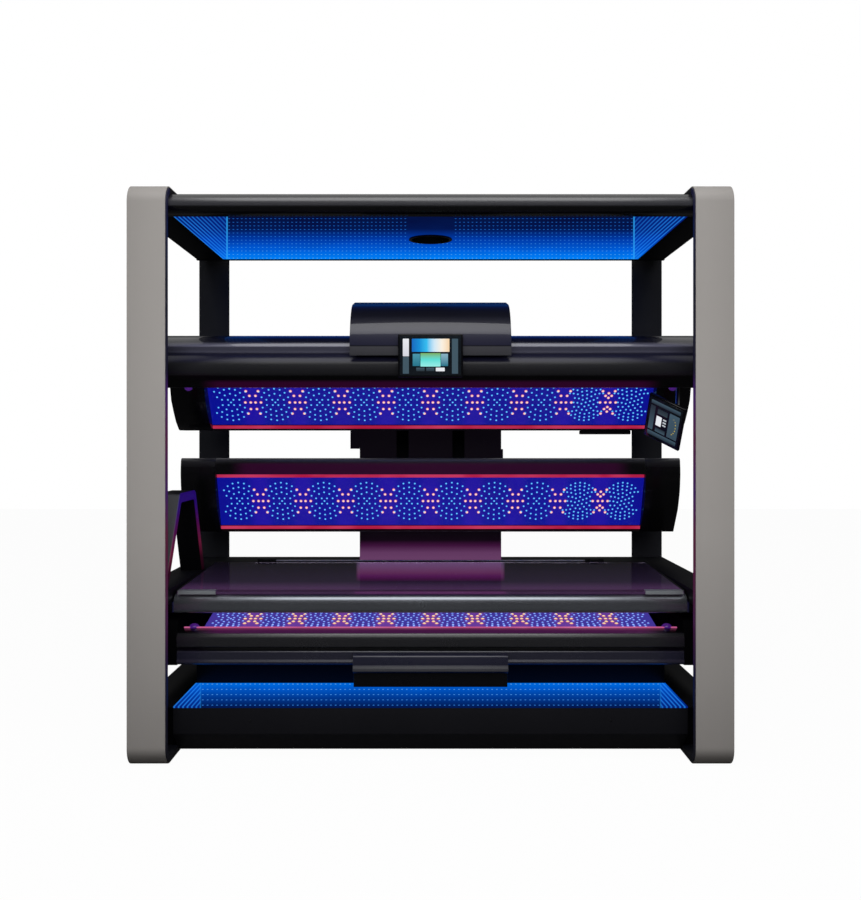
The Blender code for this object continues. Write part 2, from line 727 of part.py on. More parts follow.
def bed():
    deck = box("bed_deck", (-BAY_HALF, BAY_HALF), (BAY_FRONT, BAY_REAR), (DECK_TOP - DECK_WALL, DECK_TOP))
    tall = (DECK_TOP - 2 * DECK_WALL, DECK_TOP + DECK_WALL)
    lid_gap = box("lid_gap", (-DECK_INNER, DECK_INNER), (-BAY_FRONT, DECK_REAR_EDGE), tall)
    mast_gap = box("mast_gap", (-MAST_HALF - SEAT, MAST_HALF + SEAT), (MAST_FRONT - SEAT, DEPTH), tall)
    cut(deck, lid_gap, mast_gap)
    for side in (-1, 1):
        for end in (-1, 1):
            near = side * LUG_X + end * (LUG_LENGTH / 2 + SEAT)
            ear = box("ear", sorted((near, near + end * BRACKET_LENGTH)),
                      (PIN_DEPTH - LUG_RADIUS + SEAT, PIN_DEPTH + LUG_RADIUS),
                      (DECK_TOP - DECK_WALL / 2, PIN_HEIGHT + LUG_RADIUS))
            join(deck, ear)
        inset = SHEET_WALL / 4
        high = DECK_TOP - DECK_WALL / 2
        corner = [(BENCH_FRONT, high), (RAIL_NOSE, high), (RAIL_NOSE, RAIL_FOOT), (BENCH_FRONT, RAIL_FOOT)]
        join(deck, prism("corner", fillet(corner, [0, 0, FRONT_RAIL_ROUND, 0]),
                         sided(side, DECK_INNER + inset, BAY_HALF - inset)))
    finish(cut(deck, cylinder("ear_bore", PIN_RADIUS + SEAT, WIDTH, PIN_LINE)), BLACK)
    rod = 2 * (LUG_X + LUG_LENGTH / 2 + SEAT + BRACKET_LENGTH)
    finish(cylinder("bench_hinge_rod", PIN_RADIUS, rod, PIN_LINE), STEEL)

    tray_path = [
        (RIM_BACK + SEAT, TRAY_RIM_TOP - STRIP),
        (RIM_BACK + SEAT, TRAY_FLOOR),
        (TRAY_REAR, TRAY_FLOOR),
        (TRAY_REAR, TRAY_REAR_TOP),
    ]
    finish(prism("bed_tray", sheet(tray_path, TRAY_WALL), (-BED_HALF, BED_HALF)), BLACK)

    foot = TRAY_FLOOR + TRAY_WALL / 2
    front = TRAY_FRONT
    middle = (foot + TRAY_RIM_TOP) / 2
    groove = 0.004
    top = TRAY_RIM_TOP
    edge = top - TRAY_RIM_FALL
    notch = top - TRAY_GROOVE
    rim = fillet(
        [
            (RIM_BACK, top),
            (RIM_BACK - STRIP, top),
            (front + 0.010, edge),
            (front + 0.002, edge - 0.014),
            (front, edge - 0.024),
            (front, notch + groove),
            (front + 3 * groove, notch),
            (front + 3 * groove, notch - 3 * groove),
            (front + groove, notch - 4 * groove),
            (front + 0.006, foot + 0.021),
            (front, foot + 0.011),
            (front, foot + 0.006),
            (front + 2 * groove, foot),
            (RIM_BACK, foot),
        ],
        [0, 0, 0.006, 0.02, 0.02, 0.006, 0, 0, 0.006, 0.006, 0.004, 0.004, 0.004, 0],
        steps=3,
    )
    hollow = [(RIM_BACK - RIM_WALL, foot + RIM_WALL), (RIM_BACK - RIM_WALL, top - 2 * RIM_WALL),
              (front + 0.022, edge - 0.014), (front + 0.022, foot + 0.020)]
    slot = ((RIM_BACK - 2 * RIM_WALL, RIM_BACK + RIM_WALL), (foot + 5 * groove, foot + 8 * groove))
    finish(hollow_bar("bed_front_rim", rim, hollow, BED_HALF, slot), GRAPHITE)

    board_front = RIM_BACK + SEAT + TRAY_WALL + SEAT
    board_rear = TRAY_REAR - TRAY_WALL - SEAT
    rise = BED_BOARD_SLOPE * (board_rear - board_front)
    low = TRAY_FLOOR + TRAY_WALL + SEAT
    board = [(board_front, low), (board_rear, low + rise), (board_rear, low + rise + BOARD_WALL),
             (board_front, low + BOARD_WALL)]
    finish(prism("bed_lamp_board", board, (-FIELD_HALF, FIELD_HALF)), LAMP_BLUE)
    finish(box("bed_light_strip", (-FIELD_HALF, FIELD_HALF), (RIM_BACK - STRIP, RIM_BACK),
               (TRAY_RIM_TOP + SEAT, TRAY_RIM_TOP + SEAT + STRIP / 2)), RED_LIGHT)

    cap = fillet([(front + 3 * groove, TRAY_FLOOR), (TRAY_REAR, TRAY_FLOOR), (TRAY_REAR, BED_CAP_TOP),
                  (front + 3 * groove, BED_CAP_TOP)], [0, 0, 0.03, 0.03])

    for word, side in SIDES:
        ends = sided(side, BED_HALF + SEAT, BED_CAP_HALF)
        finish(hollow_cap("bed_end_cap_" + word, cap, ends, (1, TRAY_FLOOR)), BLACK)

    seat_front = front - SEAT
    hood_top = middle - 5 * groove
    hood = fillet(
        [
            (seat_front, hood_top),
            (LOWER_HOOD_FRONT + 0.014, hood_top - 0.006),
            (LOWER_HOOD_FRONT + 2 * groove, TRAY_FLOOR + 3 * groove),
            (LOWER_HOOD_FRONT, TRAY_FLOOR - groove / 2),
            (LOWER_HOOD_FRONT, TRAY_FLOOR - 3 * groove),
            (LOWER_HOOD_FRONT + 3 * groove, TRAY_FLOOR - 5.5 * groove),
            (seat_front, TRAY_FLOOR - 6 * groove),
            (seat_front, LOWER_HOOD_FOOT),
            (front + 2 * TRAY_RIM_DEEP, LOWER_HOOD_FOOT),
            (front + 2 * TRAY_RIM_DEEP, TRAY_FLOOR - SEAT),
            (seat_front, TRAY_FLOOR - SEAT),
        ],
        [0.004, 0.012, 0.012, 0.006, 0.006, 0, 0, 0.004, 0, 0, 0],
        steps=4,
    )
    finish(prism("lower_hood", hood, (-LOWER_HOOD_HALF, LOWER_HOOD_HALF)), GRAPHITE)

    stand = DECK_TOP + SEAT
    top = HOOP_TOP
    foot_front, foot_rear = HOOP_FOOT
    bar_front, bar_rear = HOOP_BAR
    inner_top = top - HOOP_BAND
    lean = HOOP_BAND * 0.6
    hoop = fillet(
        [
            (foot_front, stand),
            (bar_front, top),
            (bar_rear, top),
            (foot_rear, stand),
            (foot_rear - 1.25 * HOOP_BAND, stand),
            (bar_rear - lean, inner_top),
            (bar_front + lean, inner_top),
            (foot_front + 1.25 * HOOP_BAND, stand),
        ],
        [0, 0.04, 0.04, 0, 0, 0.02, 0.02, 0],
    )
    inner = DECK_INNER + HOOP_GAP
    finish(prism("grab_hoop", hoop, (-inner - HOOP_WIDTH, -inner)), CHARCOAL)


def bench():
    rear_height = BENCH_HEIGHT + BENCH_RISE
    front = BENCH_FRONT
    edge = front - SHEET_OVER
    sheet_outline = [(edge, BENCH_HEIGHT - SHEET_WALL), (BENCH_REAR, rear_height - SHEET_WALL),
                     (BENCH_REAR, rear_height), (edge, BENCH_HEIGHT)]
    lid = [finish(prism("bench_sheet", sheet_outline, (SEAT - BENCH_HALF, BENCH_HALF - SEAT)), ACRYLIC)]

    half = BENCH_HALF + RAIL_WALL
    brow = RAIL_TOP - FRONT_RAIL_ROUND
    under = fillet([(RAIL_NOSE, brow), (RAIL_NOSE, RAIL_FOOT), (front, RAIL_FOOT)],
                   [0, FRONT_RAIL_ROUND / 2, 0], closed=False)
    nose = bulge((RAIL_NOSE + FRONT_RAIL_ROUND, brow), FRONT_RAIL_ROUND, (90, 0))
    outline = [(front, RAIL_TOP)] + nose + under[1:]
    wall = RIM_WALL
    middle = RAIL_NOSE + FRONT_RAIL_THICK / 2
    hollow = [(front - wall, RAIL_FOOT + wall), (front - wall, RAIL_TOP - 2 * wall),
              (middle, RAIL_TOP - 2 * wall), (middle, RAIL_FOOT + 2 * wall)]
    slot = ((front - 2 * wall, front + wall), (RAIL_FOOT + 2 * wall, RAIL_FOOT + 4 * wall))
    lid.append(finish(hollow_bar("bench_front_rail", outline, hollow, half, slot), GRAPHITE))

    rear = BENCH_REAR + SEAT
    drop = 4 * SHEET_WALL
    frame = box("bench_frame", (-half, half), (rear, rear + REAR_RAIL - SEAT),
                (rear_height - drop, rear_height))
    lugs = []
    for side in (-1, 1):
        ends = (side * LUG_X - LUG_LENGTH / 2, side * LUG_X + LUG_LENGTH / 2)
        ring = []
        for step in range(25):
            angle = math.pi * (step / 24 - 0.5)
            ring.append((PIN_DEPTH + LUG_RADIUS * math.cos(angle), PIN_HEIGHT + LUG_RADIUS * math.sin(angle)))
        web = rear + REAR_RAIL / 2
        outline = ring + [(web, PIN_HEIGHT + LUG_RADIUS), (web, PIN_HEIGHT - LUG_RADIUS)]
        lugs.append(prism("lug", outline, ends))
    join(frame, *lugs)
    for side in (-1, 1):
        outline = [(front + SEAT, BENCH_HEIGHT - drop), (rear + REAR_RAIL / 2, rear_height - drop),
                   (rear + REAR_RAIL / 2, rear_height), (front + SEAT, BENCH_HEIGHT)]
        join(frame, prism("side_rail", outline, sided(side, BENCH_HALF, half)))
    cut(frame, cylinder("lug_bore", PIN_RADIUS + PIN_PLAY, WIDTH, PIN_LINE))
    lid.append(finish(frame, BLACK))
    hang(pivot("bench_pivot", (0, back(PIN_DEPTH), PIN_HEIGHT)), lid)


# Mast

MAST_FOOT = PLATE[1] + SEAT
MAST_REAR = MAST_FRONT + MAST_DEPTH
TUBE_DEPTH = COLUMN_FRONT - SEAT - TUBE_RADIUS
TUBE_FOOT = MAST_FOOT + MOTOR_HEIGHT + SEAT
ROD_RADIUS = TUBE_RADIUS - TUBE_WALL - ROD_PLAY
ROD_FOOT = TUBE_FOOT + ROD_GAP + CANOPY_DROP
TUBE_TOP = CANOPY_CARRIAGE[0] - CANOPY_DROP - 2 * ROD_GAP
SLOT_FOOT = BACK_ARM_HEIGHT - BACK_ARM_DEEP / 2 - BACK_RATIO * CANOPY_DROP - SLOT_WIDTH / 6
SLOT_TOP = CANOPY_ARM_HEIGHT + CANOPY_ARM_DEEP / 2 + SLOT_WIDTH / 6


def mast():
    inside = (-COLUMN_HALF + COLUMN_WALL, COLUMN_HALF - COLUMN_WALL)
    column_rear = COLUMN_FRONT + COLUMN_DEPTH
    top = MAST_TOP - COVER_WALL - SEAT
    column = box("mast_column", (-COLUMN_HALF, COLUMN_HALF), (COLUMN_FRONT, column_rear), (MAST_FOOT, top))
    core = box("core", inside, (COLUMN_FRONT + COLUMN_WALL, column_rear - COLUMN_WALL), (0, HEIGHT))
    cut(column, core)
    for side in (-1, 1):
        rail = box("rail", sided(side, RAIL_OFFSET - RAIL_WIDTH / 2, RAIL_OFFSET + RAIL_WIDTH / 2),
                   (RAIL_FRONT, COLUMN_FRONT + COLUMN_WALL / 2), (DECK_TOP, top - COVER_WALL))
        join(column, rail)
    finish(column, STEEL)

    cover = box("mast_cover", (-MAST_HALF, MAST_HALF), (MAST_FRONT, MAST_REAR), (MAST_FOOT, MAST_TOP))
    pocket = box("mast_pocket", (COVER_WALL - MAST_HALF, MAST_HALF - COVER_WALL),
                 (MAST_FRONT + COVER_WALL, MAST_REAR - COVER_WALL), (0, MAST_TOP - COVER_WALL))
    cut(cover, pocket)
    for side in (-1, 1):
        slot = box("slot", sided(side, SLOT_OFFSET - SLOT_WIDTH / 2, SLOT_OFFSET + SLOT_WIDTH / 2),
                   (MAST_FRONT - COVER_WALL, MAST_FRONT + 2 * COVER_WALL), (SLOT_FOOT, SLOT_TOP))
        cut(cover, slot)
    for side, (reach, foot, high) in ((-1, SWITCH_LEFT), (1, SWITCH_RIGHT)):
        front = MAST_FRONT + SWITCH_BACK
        join(cover, box("switch", sided(side, MAST_HALF - COVER_WALL / 2, MAST_HALF + reach),
                        (front, front + SWITCH_DEEP), (foot, high)))
    finish(cover, BLACK)

    motor = box("lift_actuator", (-3 * TUBE_RADIUS, 3 * TUBE_RADIUS),
                (TUBE_DEPTH - TUBE_RADIUS, TUBE_DEPTH + TUBE_RADIUS),
                (MAST_FOOT, MAST_FOOT + MOTOR_HEIGHT), EDGE)
    length = TUBE_TOP - TUBE_FOOT
    middle = Matrix.Translation((0, back(TUBE_DEPTH), (TUBE_FOOT + TUBE_TOP) / 2))
    sunk = Matrix.Translation((0, 0, -TUBE_WALL)) @ middle
    join(motor, cylinder("tube", TUBE_RADIUS - SEAT, length, sunk))
    bore = Matrix.Translation((0, 0, TUBE_WALL)) @ middle
    finish(cut(motor, cylinder("tube_bore", TUBE_RADIUS - TUBE_WALL, length, bore)), STEEL)


def carriage(name, ends, heights, arm_height, arm_deep, arm_front):
    """Slider on the guide rails with arms that reach forward through the slots of the mast cover."""
    rear = CARRIAGE_REAR
    block = box(name, ends, (rear - CARRIAGE_DEPTH, rear), heights)
    arms = []
    for side in (-1, 1):
        middle = side * SLOT_OFFSET
        if not ends[0] < middle < ends[1]:
            continue
        arms.append(box("arm", (middle - ARM_WIDTH / 2, middle + ARM_WIDTH / 2),
                        (arm_front, rear - CARRIAGE_DEPTH / 2),
                        (arm_height - arm_deep / 2, arm_height + arm_deep / 2)))
    return join(block, *arms)


CARRIAGE_OUT = RAIL_OFFSET + RAIL_WIDTH / 2


# Canopy

CANOPY_RIM_BACK = CANOPY_FRONT + CANOPY_RIM_DEEP


def canopy_shell_path():
    """Outer face of the canopy shell, from the rim over the top and down to the front edge of its foot."""
    corners = [
        (CANOPY_RIM_BACK + SEAT, CANOPY_TOP - 0.018),
        (CANOPY_RIM_BACK + 0.215, CANOPY_TOP - 0.002),
        (CANOPY_REAR - 0.205, CANOPY_TOP - 0.028),
        (CANOPY_REAR - 0.055, CANOPY_TOP - 0.138),
        (CANOPY_REAR, CANOPY_FOOT + 0.110),
        (CANOPY_REAR - 0.003, CANOPY_FOOT),
        (CANOPY_LIP, CANOPY_FOOT),
    ]
    return fillet(corners, [0, 0.3, 0.15, 0.15, 0.1, 0.012, 0], steps=4, closed=False)


def canopy():
    shell = canopy_shell_path()
    field = (-FIELD_HALF, FIELD_HALF)
    pieces = [finish(prism("canopy_shell", sheet(shell, -SHELL_WALL), field), CHARCOAL)]

    front = CANOPY_FRONT
    top = CANOPY_TOP
    foot = CANOPY_RIM_FOOT
    groove = top - RIM_GROOVE
    lower = bulge((front + RIM_ROUND, groove - 0.083), RIM_ROUND, RIM_LOWER)
    over = top - RIM_ROUND * math.sin(math.radians(RIM_UPPER[0]))
    rim_axis = CANOPY_RIM_BACK + RIM_ROUND * math.cos(math.radians(RIM_UPPER[0]))
    upper = bulge((rim_axis, over), RIM_ROUND, RIM_UPPER)
    notch = front + 0.046
    under = [(front + 0.007, foot + 0.051), (front + 0.050, foot), (CANOPY_RIM_BACK, foot)]
    rim = upper + [(notch, groove + 0.002), (notch, groove - 0.007)] + lower + under
    wall = RIM_WALL
    hollow = [
        (CANOPY_RIM_BACK - wall, top - 3 * wall),
        (front + 0.064, top - 0.023),
        (notch + 0.008, groove + 0.004),
        (notch + 0.008, groove - 0.012),
        (front + 0.024, groove - 0.045),
        (front + 0.010, groove - 0.083),
        (front + 0.016, foot + 0.053),
        (front + 0.053, foot + wall),
        (CANOPY_RIM_BACK - wall, foot + wall),
    ]
    slot = ((CANOPY_RIM_BACK - 2 * wall, CANOPY_RIM_BACK + wall), (groove - 0.054, groove - 0.007))
    pieces.append(finish(hollow_bar("canopy_front_rim", rim, hollow, CANOPY_HALF, slot), GRAPHITE))

    opening = CANOPY_RIM_BACK + SEAT
    cheek = [(CANOPY_LIP + depth, CANOPY_FOOT + height) for depth, height in CHEEK]
    cap = shell + cheek + [(opening, CANOPY_ROOF_FRONT)]

    for word, side in SIDES:
        ends = sided(side, FIELD_HALF + SEAT, CANOPY_HALF)
        pieces.append(finish(hollow_cap("canopy_end_cap_" + word, cap, ends, (0, back(opening))), BLACK))

    board = sheet([CANOPY_BOARD_FOOT, CANOPY_BOARD_TOP, (opening, CANOPY_ROOF_FRONT)], -BOARD_WALL)
    pieces.append(finish(prism("canopy_lamp_board", board, field), LAMP_BLUE))

    strip_foot = CANOPY_FOOT + SHELL_WALL + SEAT
    pieces.append(finish(box("canopy_light_strip", field, (CANOPY_LIP, CANOPY_LIP + STRIP),
                             (strip_foot, strip_foot + STRIP_TALL)), RED_LIGHT))

    arch = fillet(
        [
            (HOOD_FRONT, HOOD_FOOT),
            (HOOD_FRONT, HOOD_FOOT + 0.085),
            (HOOD_FRONT + 0.080, HOOD_CREST - 0.060),
            (HOOD_FRONT + 0.380, HOOD_CREST),
            (HOOD_REAR - 0.250, HOOD_CREST - 0.045),
            (HOOD_REAR - 0.070, HOOD_CREST - 0.150),
            (HOOD_REAR, HOOD_CREST - 0.220),
        ],
        [0, 0.16, 0.25, 0.6, 0.3, 0.1, 0],
        steps=6,
        closed=False,
    )
    rest = CANOPY_TOP + SEAT
    lip = CANOPY_FRONT - SEAT
    over = CANOPY_CARRIAGE[1] + SEAT
    outline = arch + [(HOOD_REAR, over), (CANOPY_REAR - 0.060, over), (CANOPY_REAR - 0.185, rest),
                      (lip, rest), (lip, HOOD_FOOT)]
    hood = prism("canopy_hood", outline, (-HOOD_HALF, HOOD_HALF))
    inner = offset(arch, -HOOD_WALL)[1:-1]
    below = HOOD_FOOT - HOOD_CHEEK
    inner += [(HOOD_REAR + HOOD_CHEEK, arch[-1][1] - 2 * HOOD_CHEEK), (HOOD_REAR + HOOD_CHEEK, below),
              (inner[0][0], below)]
    inside = HOOD_HALF - HOOD_CHEEK
    pieces.append(finish(cut(hood, prism("hood_hollow", inner, (-inside, inside))), GRAPHITE))

    arm_front = depth_at(shell, CANOPY_ARM_HEIGHT - CANOPY_ARM_DEEP / 2) + SEAT
    slider = carriage("canopy_carriage", (-CARRIAGE_OUT, CARRIAGE_OUT), CANOPY_CARRIAGE, CANOPY_ARM_HEIGHT,
                      CANOPY_ARM_DEEP, arm_front)
    pieces.append(finish(slider, STEEL))
    rod_top = CANOPY_CARRIAGE[0] - SEAT
    middle = Matrix.Translation((0, back(TUBE_DEPTH), (ROD_FOOT + rod_top) / 2))
    pieces.append(finish(cylinder("lift_rod", ROD_RADIUS, rod_top - ROD_FOOT, middle), STEEL))

    under = CANOPY_FOOT - SEAT
    pieces.append(finish(box("canopy_sensor_box", SENSOR_X, (CANOPY_LIP + STRIP, CANOPY_REAR - 3 * STRIP),
                             (under - SENSOR_DEEP, under), EDGE), BLACK))

    face = HOOD_FRONT - SEAT
    tall = (DISPLAY_MIDDLE - DISPLAY_HEIGHT / 2, DISPLAY_MIDDLE + DISPLAY_HEIGHT / 2)
    wide = (-DISPLAY_WIDTH / 2, DISPLAY_WIDTH / 2)
    pieces.append(finish(box("display_case", wide, (face - DISPLAY_WALL, face), tall, EDGE), BLACK))
    glass = face - DISPLAY_WALL - SEAT
    edge = GLASS_BORDER
    pieces.append(finish(box("display_glass", (wide[0] + edge, wide[1] - edge), (glass - GLASS_WALL, glass),
                             (tall[0] + edge, tall[1] - edge)), GLASS))
    return pieces


# Tablet on the canopy's right end

def tablet_frame():
    """Frame of the tablet: its X across, its Y along, its Z out of the back."""
    across = Vector(TABLET_ACROSS).normalized()
    out = across.cross(Vector(TABLET_ALONG)).normalized()
    along = out.cross(across)
    frame = Matrix((across, along, out)).transposed().to_4x4()
    frame.translation = (CANOPY_HALF - TABLET_IN, back(TABLET_DEPTH), TABLET_HEIGHT)
    return frame


def block(name, size, matrix, round_edge=0.0):
    """Box of a size, centred on the matrix."""
    obj = box(name, (0, size[0]), (0, size[1]), (0, size[2]), round_edge)
    obj.matrix_world = matrix
    return obj


def tablet():
    frame = tablet_frame()
    pin_out = TABLET_WALL / 2 + TABLET_PIVOT
    knuckle = frame @ Matrix.Translation((0, 0, pin_out))
    pin_line = knuckle @ ALONG_Y

    lug_length = TABLET_LUG
    lug_middle = TABLET_BARREL / 2 + SEAT + lug_length / 2
    case = block("tablet_case", (TABLET_SHORT, TABLET_LONG, TABLET_WALL), frame, EDGE)
    for side in (-1, 1):
        web = block("web", (2 * LUG_RADIUS, lug_length, TABLET_PIVOT + TABLET_WALL / 2),
                    frame @ Matrix.Translation((0, side * lug_middle, pin_out / 2 + TABLET_WALL / 4)))
        eye_place = frame @ Matrix.Translation((0, side * lug_middle, pin_out))
        eye = cylinder("eye", LUG_RADIUS, lug_length, eye_place @ ALONG_Y)
        join(case, join(web, eye))
    cut(case, cylinder("eye_bore", PIN_RADIUS + PIN_PLAY, TABLET_LONG, pin_line))
    edge = GLASS_BORDER
    glass_out = -TABLET_WALL / 2 - SEAT - GLASS_WALL / 2
    glass = block("tablet_glass", (TABLET_SHORT - 2 * edge, TABLET_LONG - 2 * edge, GLASS_WALL),
                  frame @ Matrix.Translation((0, 0, glass_out)))
    moving = [finish(case, BLACK), finish(glass, GLASS)]
    hang(pivot("tablet_pivot", knuckle.translation), moving)

    root_depth = TABLET_ARM_DEPTH
    cheek_depth = CANOPY_LIP + CHEEK[-1][0]
    cheek_height = CANOPY_FOOT + CHEEK[-1][1]
    slope = (CANOPY_ROOF_FRONT - cheek_height) / (cheek_depth - CANOPY_RIM_BACK - SEAT)
    root_height = cheek_height + slope * (cheek_depth - root_depth - ARM_RADIUS) - SEAT
    root = Vector((CANOPY_HALF - TABLET_ARM_IN, back(root_depth), root_height))
    neck = root - Vector((0, 0, ARM_RADIUS))
    bend = root - Vector((0, 0, 6 * ARM_RADIUS))
    out = frame.to_3x3().col[2]
    end = knuckle.translation + out * (LUG_RADIUS - PIN_PLAY)
    near = knuckle.translation + out * 7 * ARM_RADIUS
    curve = bpy.data.curves.new("tablet_arm", "CURVE")
    curve.dimensions = "3D"
    curve.bevel_depth = ARM_RADIUS
    curve.bevel_resolution = 2
    curve.use_fill_caps = True
    points = [root, neck]
    steps = 8
    for step in range(1, steps + 1):
        share = step / steps
        points.append(neck.lerp(bend, share).lerp(bend.lerp(near, share), share))
    points.append(end - out * PIN_RADIUS / 2)
    spline = curve.splines.new("POLY")
    spline.points.add(len(points) - 1)
    for target, point in zip(spline.points, points):
        target.co = (*point, 1)
    arm = bent_rod("tablet_arm", curve)
    barrel = cylinder("barrel", LUG_RADIUS, TABLET_BARREL, pin_line)
    join(barrel, arm)
    cut(barrel, cylinder("barrel_bore", PIN_RADIUS + PIN_PLAY, TABLET_LONG, pin_line))
    barrel.name = "tablet_arm"
    pin = cylinder("tablet_pin", PIN_RADIUS, TABLET_BARREL + 2 * (SEAT + lug_length), pin_line)
    return [finish(barrel, STEEL), finish(pin, STEEL)]


# Back panel

def back_panel():
    field = (-FIELD_HALF, FIELD_HALF)
    path = fillet(
        [
            (BACK_FRONT, BACK_BOARD_TOP[1] + 2 * STRIP),
            (BACK_FRONT + STRIP, BACK_TOP),
            (BACK_REAR, BACK_TOP - STRIP),
            (BACK_REAR, BACK_FOOT),
            (BACK_FOOT_FRONT, BACK_FOOT),
        ],
        [0, 0.02, 0.03, 0.03, 0],
        closed=False,
    )
    pieces = [finish(prism("back_panel_housing", sheet(path, -SHELL_WALL), field), CHARCOAL)]

    height = BACK_TOP - BACK_FOOT
    cap = fillet(
        [
            (BACK_FRONT + STRIP, BACK_TOP),
            (BACK_REAR, BACK_TOP - STRIP),
            (BACK_REAR, BACK_FOOT),
            (BACK_FOOT_FRONT, BACK_FOOT),
            (BACK_FRONT + 0.048, BACK_FOOT + 0.33 * height),
            (BACK_FRONT + 0.010, BACK_FOOT + 0.58 * height),
            (BACK_FRONT, BACK_FOOT + 0.80 * height),
        ],
        [0.02, 0, 0, 0.01, 0.2, 0.2, 0.2],
    )

    for word, side in SIDES:
        ends = sided(side, FIELD_HALF + SEAT, BACK_HALF)
        pieces.append(finish(hollow_cap("back_panel_end_cap_" + word, cap, ends, (0, back(BACK_REAR))), BLACK))
    board = sheet([BACK_BOARD_FOOT, BACK_BOARD_TOP], -BOARD_WALL)
    pieces.append(finish(prism("back_panel_lamp_board", board, field), LAMP_BLUE))
    upper = (BACK_BOARD_TOP[0], BACK_BOARD_TOP[1] + STRIP_GAP)
    lower = (BACK_BOARD_FOOT[0], BACK_BOARD_FOOT[1] - STRIP_GAP - STRIP_TALL)
    for word, (depth, low) in (("upper", upper), ("lower", lower)):
        strip = box("back_panel_strip_" + word, field, (depth - STRIP / 2, depth + STRIP / 2),
                    (low, low + STRIP_TALL))
        pieces.append(finish(strip, RED_LIGHT))

    arm_front = BACK_REAR + SEAT
    low = BACK_ARM_HEIGHT - BACK_ARM_DEEP / 2
    slider = box("back_panel_carriage", (-SLOT_OFFSET, SLOT_OFFSET), (arm_front, arm_front + CARRIAGE_DEPTH),
                 (low, low + BACK_ARM_DEEP))
    for side in (-1, 1):
        ends = sided(side, SLOT_OFFSET - ARM_WIDTH, CARRIAGE_OUT)
        join(slider, carriage("slider", ends, BACK_CARRIAGE, BACK_ARM_HEIGHT, BACK_ARM_DEEP, arm_front))
    pieces.append(finish(slider, STEEL))
    return pieces


for loop_word, loop_side in SIDES:
    side_loop(loop_word, loop_side)
roof()
base()
fans()
bed()
bench()
mast()
lift_line = (0, back(TUBE_DEPTH), TUBE_FOOT)
hang(pivot("canopy_slide", lift_line), canopy() + tablet())
hang(pivot("back_panel_slide", lift_line), back_panel())
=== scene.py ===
# %% [markdown]
# # Dressing a tanning bed
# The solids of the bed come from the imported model. They have the right shapes and the right joints, but
# plain looks. This lesson dresses them: every solid gets a finish, and the lamps, dots of light, screens
# and small trim that are too fine for the solids are added on top. Each new piece rides on one of the
# bodies, so that it moves with the joints.

# %% Load the frame
import json
import math

import bmesh
import bpy
from mathutils import Matrix, Vector


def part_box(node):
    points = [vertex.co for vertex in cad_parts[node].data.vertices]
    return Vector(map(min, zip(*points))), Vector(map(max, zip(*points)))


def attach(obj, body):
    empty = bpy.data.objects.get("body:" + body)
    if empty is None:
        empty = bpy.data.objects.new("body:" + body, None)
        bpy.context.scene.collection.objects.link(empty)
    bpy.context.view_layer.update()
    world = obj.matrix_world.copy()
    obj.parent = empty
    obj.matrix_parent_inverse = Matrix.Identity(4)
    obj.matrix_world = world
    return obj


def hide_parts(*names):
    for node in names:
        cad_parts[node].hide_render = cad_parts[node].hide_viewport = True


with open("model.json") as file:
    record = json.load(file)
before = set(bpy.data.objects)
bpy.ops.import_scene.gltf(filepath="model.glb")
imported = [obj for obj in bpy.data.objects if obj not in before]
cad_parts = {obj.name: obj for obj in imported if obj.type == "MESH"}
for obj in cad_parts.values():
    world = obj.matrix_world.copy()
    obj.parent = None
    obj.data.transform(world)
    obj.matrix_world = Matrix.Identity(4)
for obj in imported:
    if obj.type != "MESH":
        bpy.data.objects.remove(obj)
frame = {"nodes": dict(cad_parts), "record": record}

scene = bpy.context.scene
scene.view_settings.view_transform = "Standard"
nodes = frame["nodes"]
body_of_node = {}
for body, members in frame["record"]["behaviour"]["bodies"].items():
    for member in members:
        body_of_node[member] = body
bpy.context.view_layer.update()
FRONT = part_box("left_skin")[0].y
print("loaded", len(nodes), "solids; the front of the frame is at", round(FRONT, 4))


def at(x, depth, height):
    """A place, with its depth counted from the front of the frame."""
    return Vector((x, FRONT + depth, height))


# %% [markdown]
# ## Writing shaders as sums
# A material is a graph of nodes, and long graphs are hard to read as code. Here a small class wraps one
# socket of the graph, so that `1 - mask` or `x * 3` add the Math nodes by themselves. Everything else goes
# through one method, `node`, which takes the kind of node, its settings and what its sockets get.

# %% Shader tools
class Amount:
    """A number or colour that varies over a surface."""

    def __init__(self, graph, socket):
        self.graph = graph
        self.socket = socket

    def calc(self, operation, *values):
        return self.graph.node("Math", {"operation": operation}, dict(enumerate(values)))

    def __add__(self, other):
        return self.calc("ADD", self, other)

    def __sub__(self, other):
        return self.calc("SUBTRACT", self, other)

    def __rsub__(self, other):
        return self.calc("SUBTRACT", other, self)

    def __mul__(self, other):
        return self.calc("MULTIPLY", self, other)

    def __truediv__(self, other):
        return self.calc("DIVIDE", self, other)

    def size(self):
        return self.calc("ABSOLUTE", self)

    def over(self, edge):
        return self.calc("GREATER_THAN", self, edge)

    def most(self, other):
        return self.calc("MAXIMUM", self, other)

    def wave(self):
        return self.calc("SINE", self)

    def within(self, low, high):
        """0 at low, 1 at high, and a soft step between them."""
        settings = {"interpolation_type": "SMOOTHSTEP"}
        return self.graph.node("MapRange", settings, {"Value": self, "From Min": low, "From Max": high})


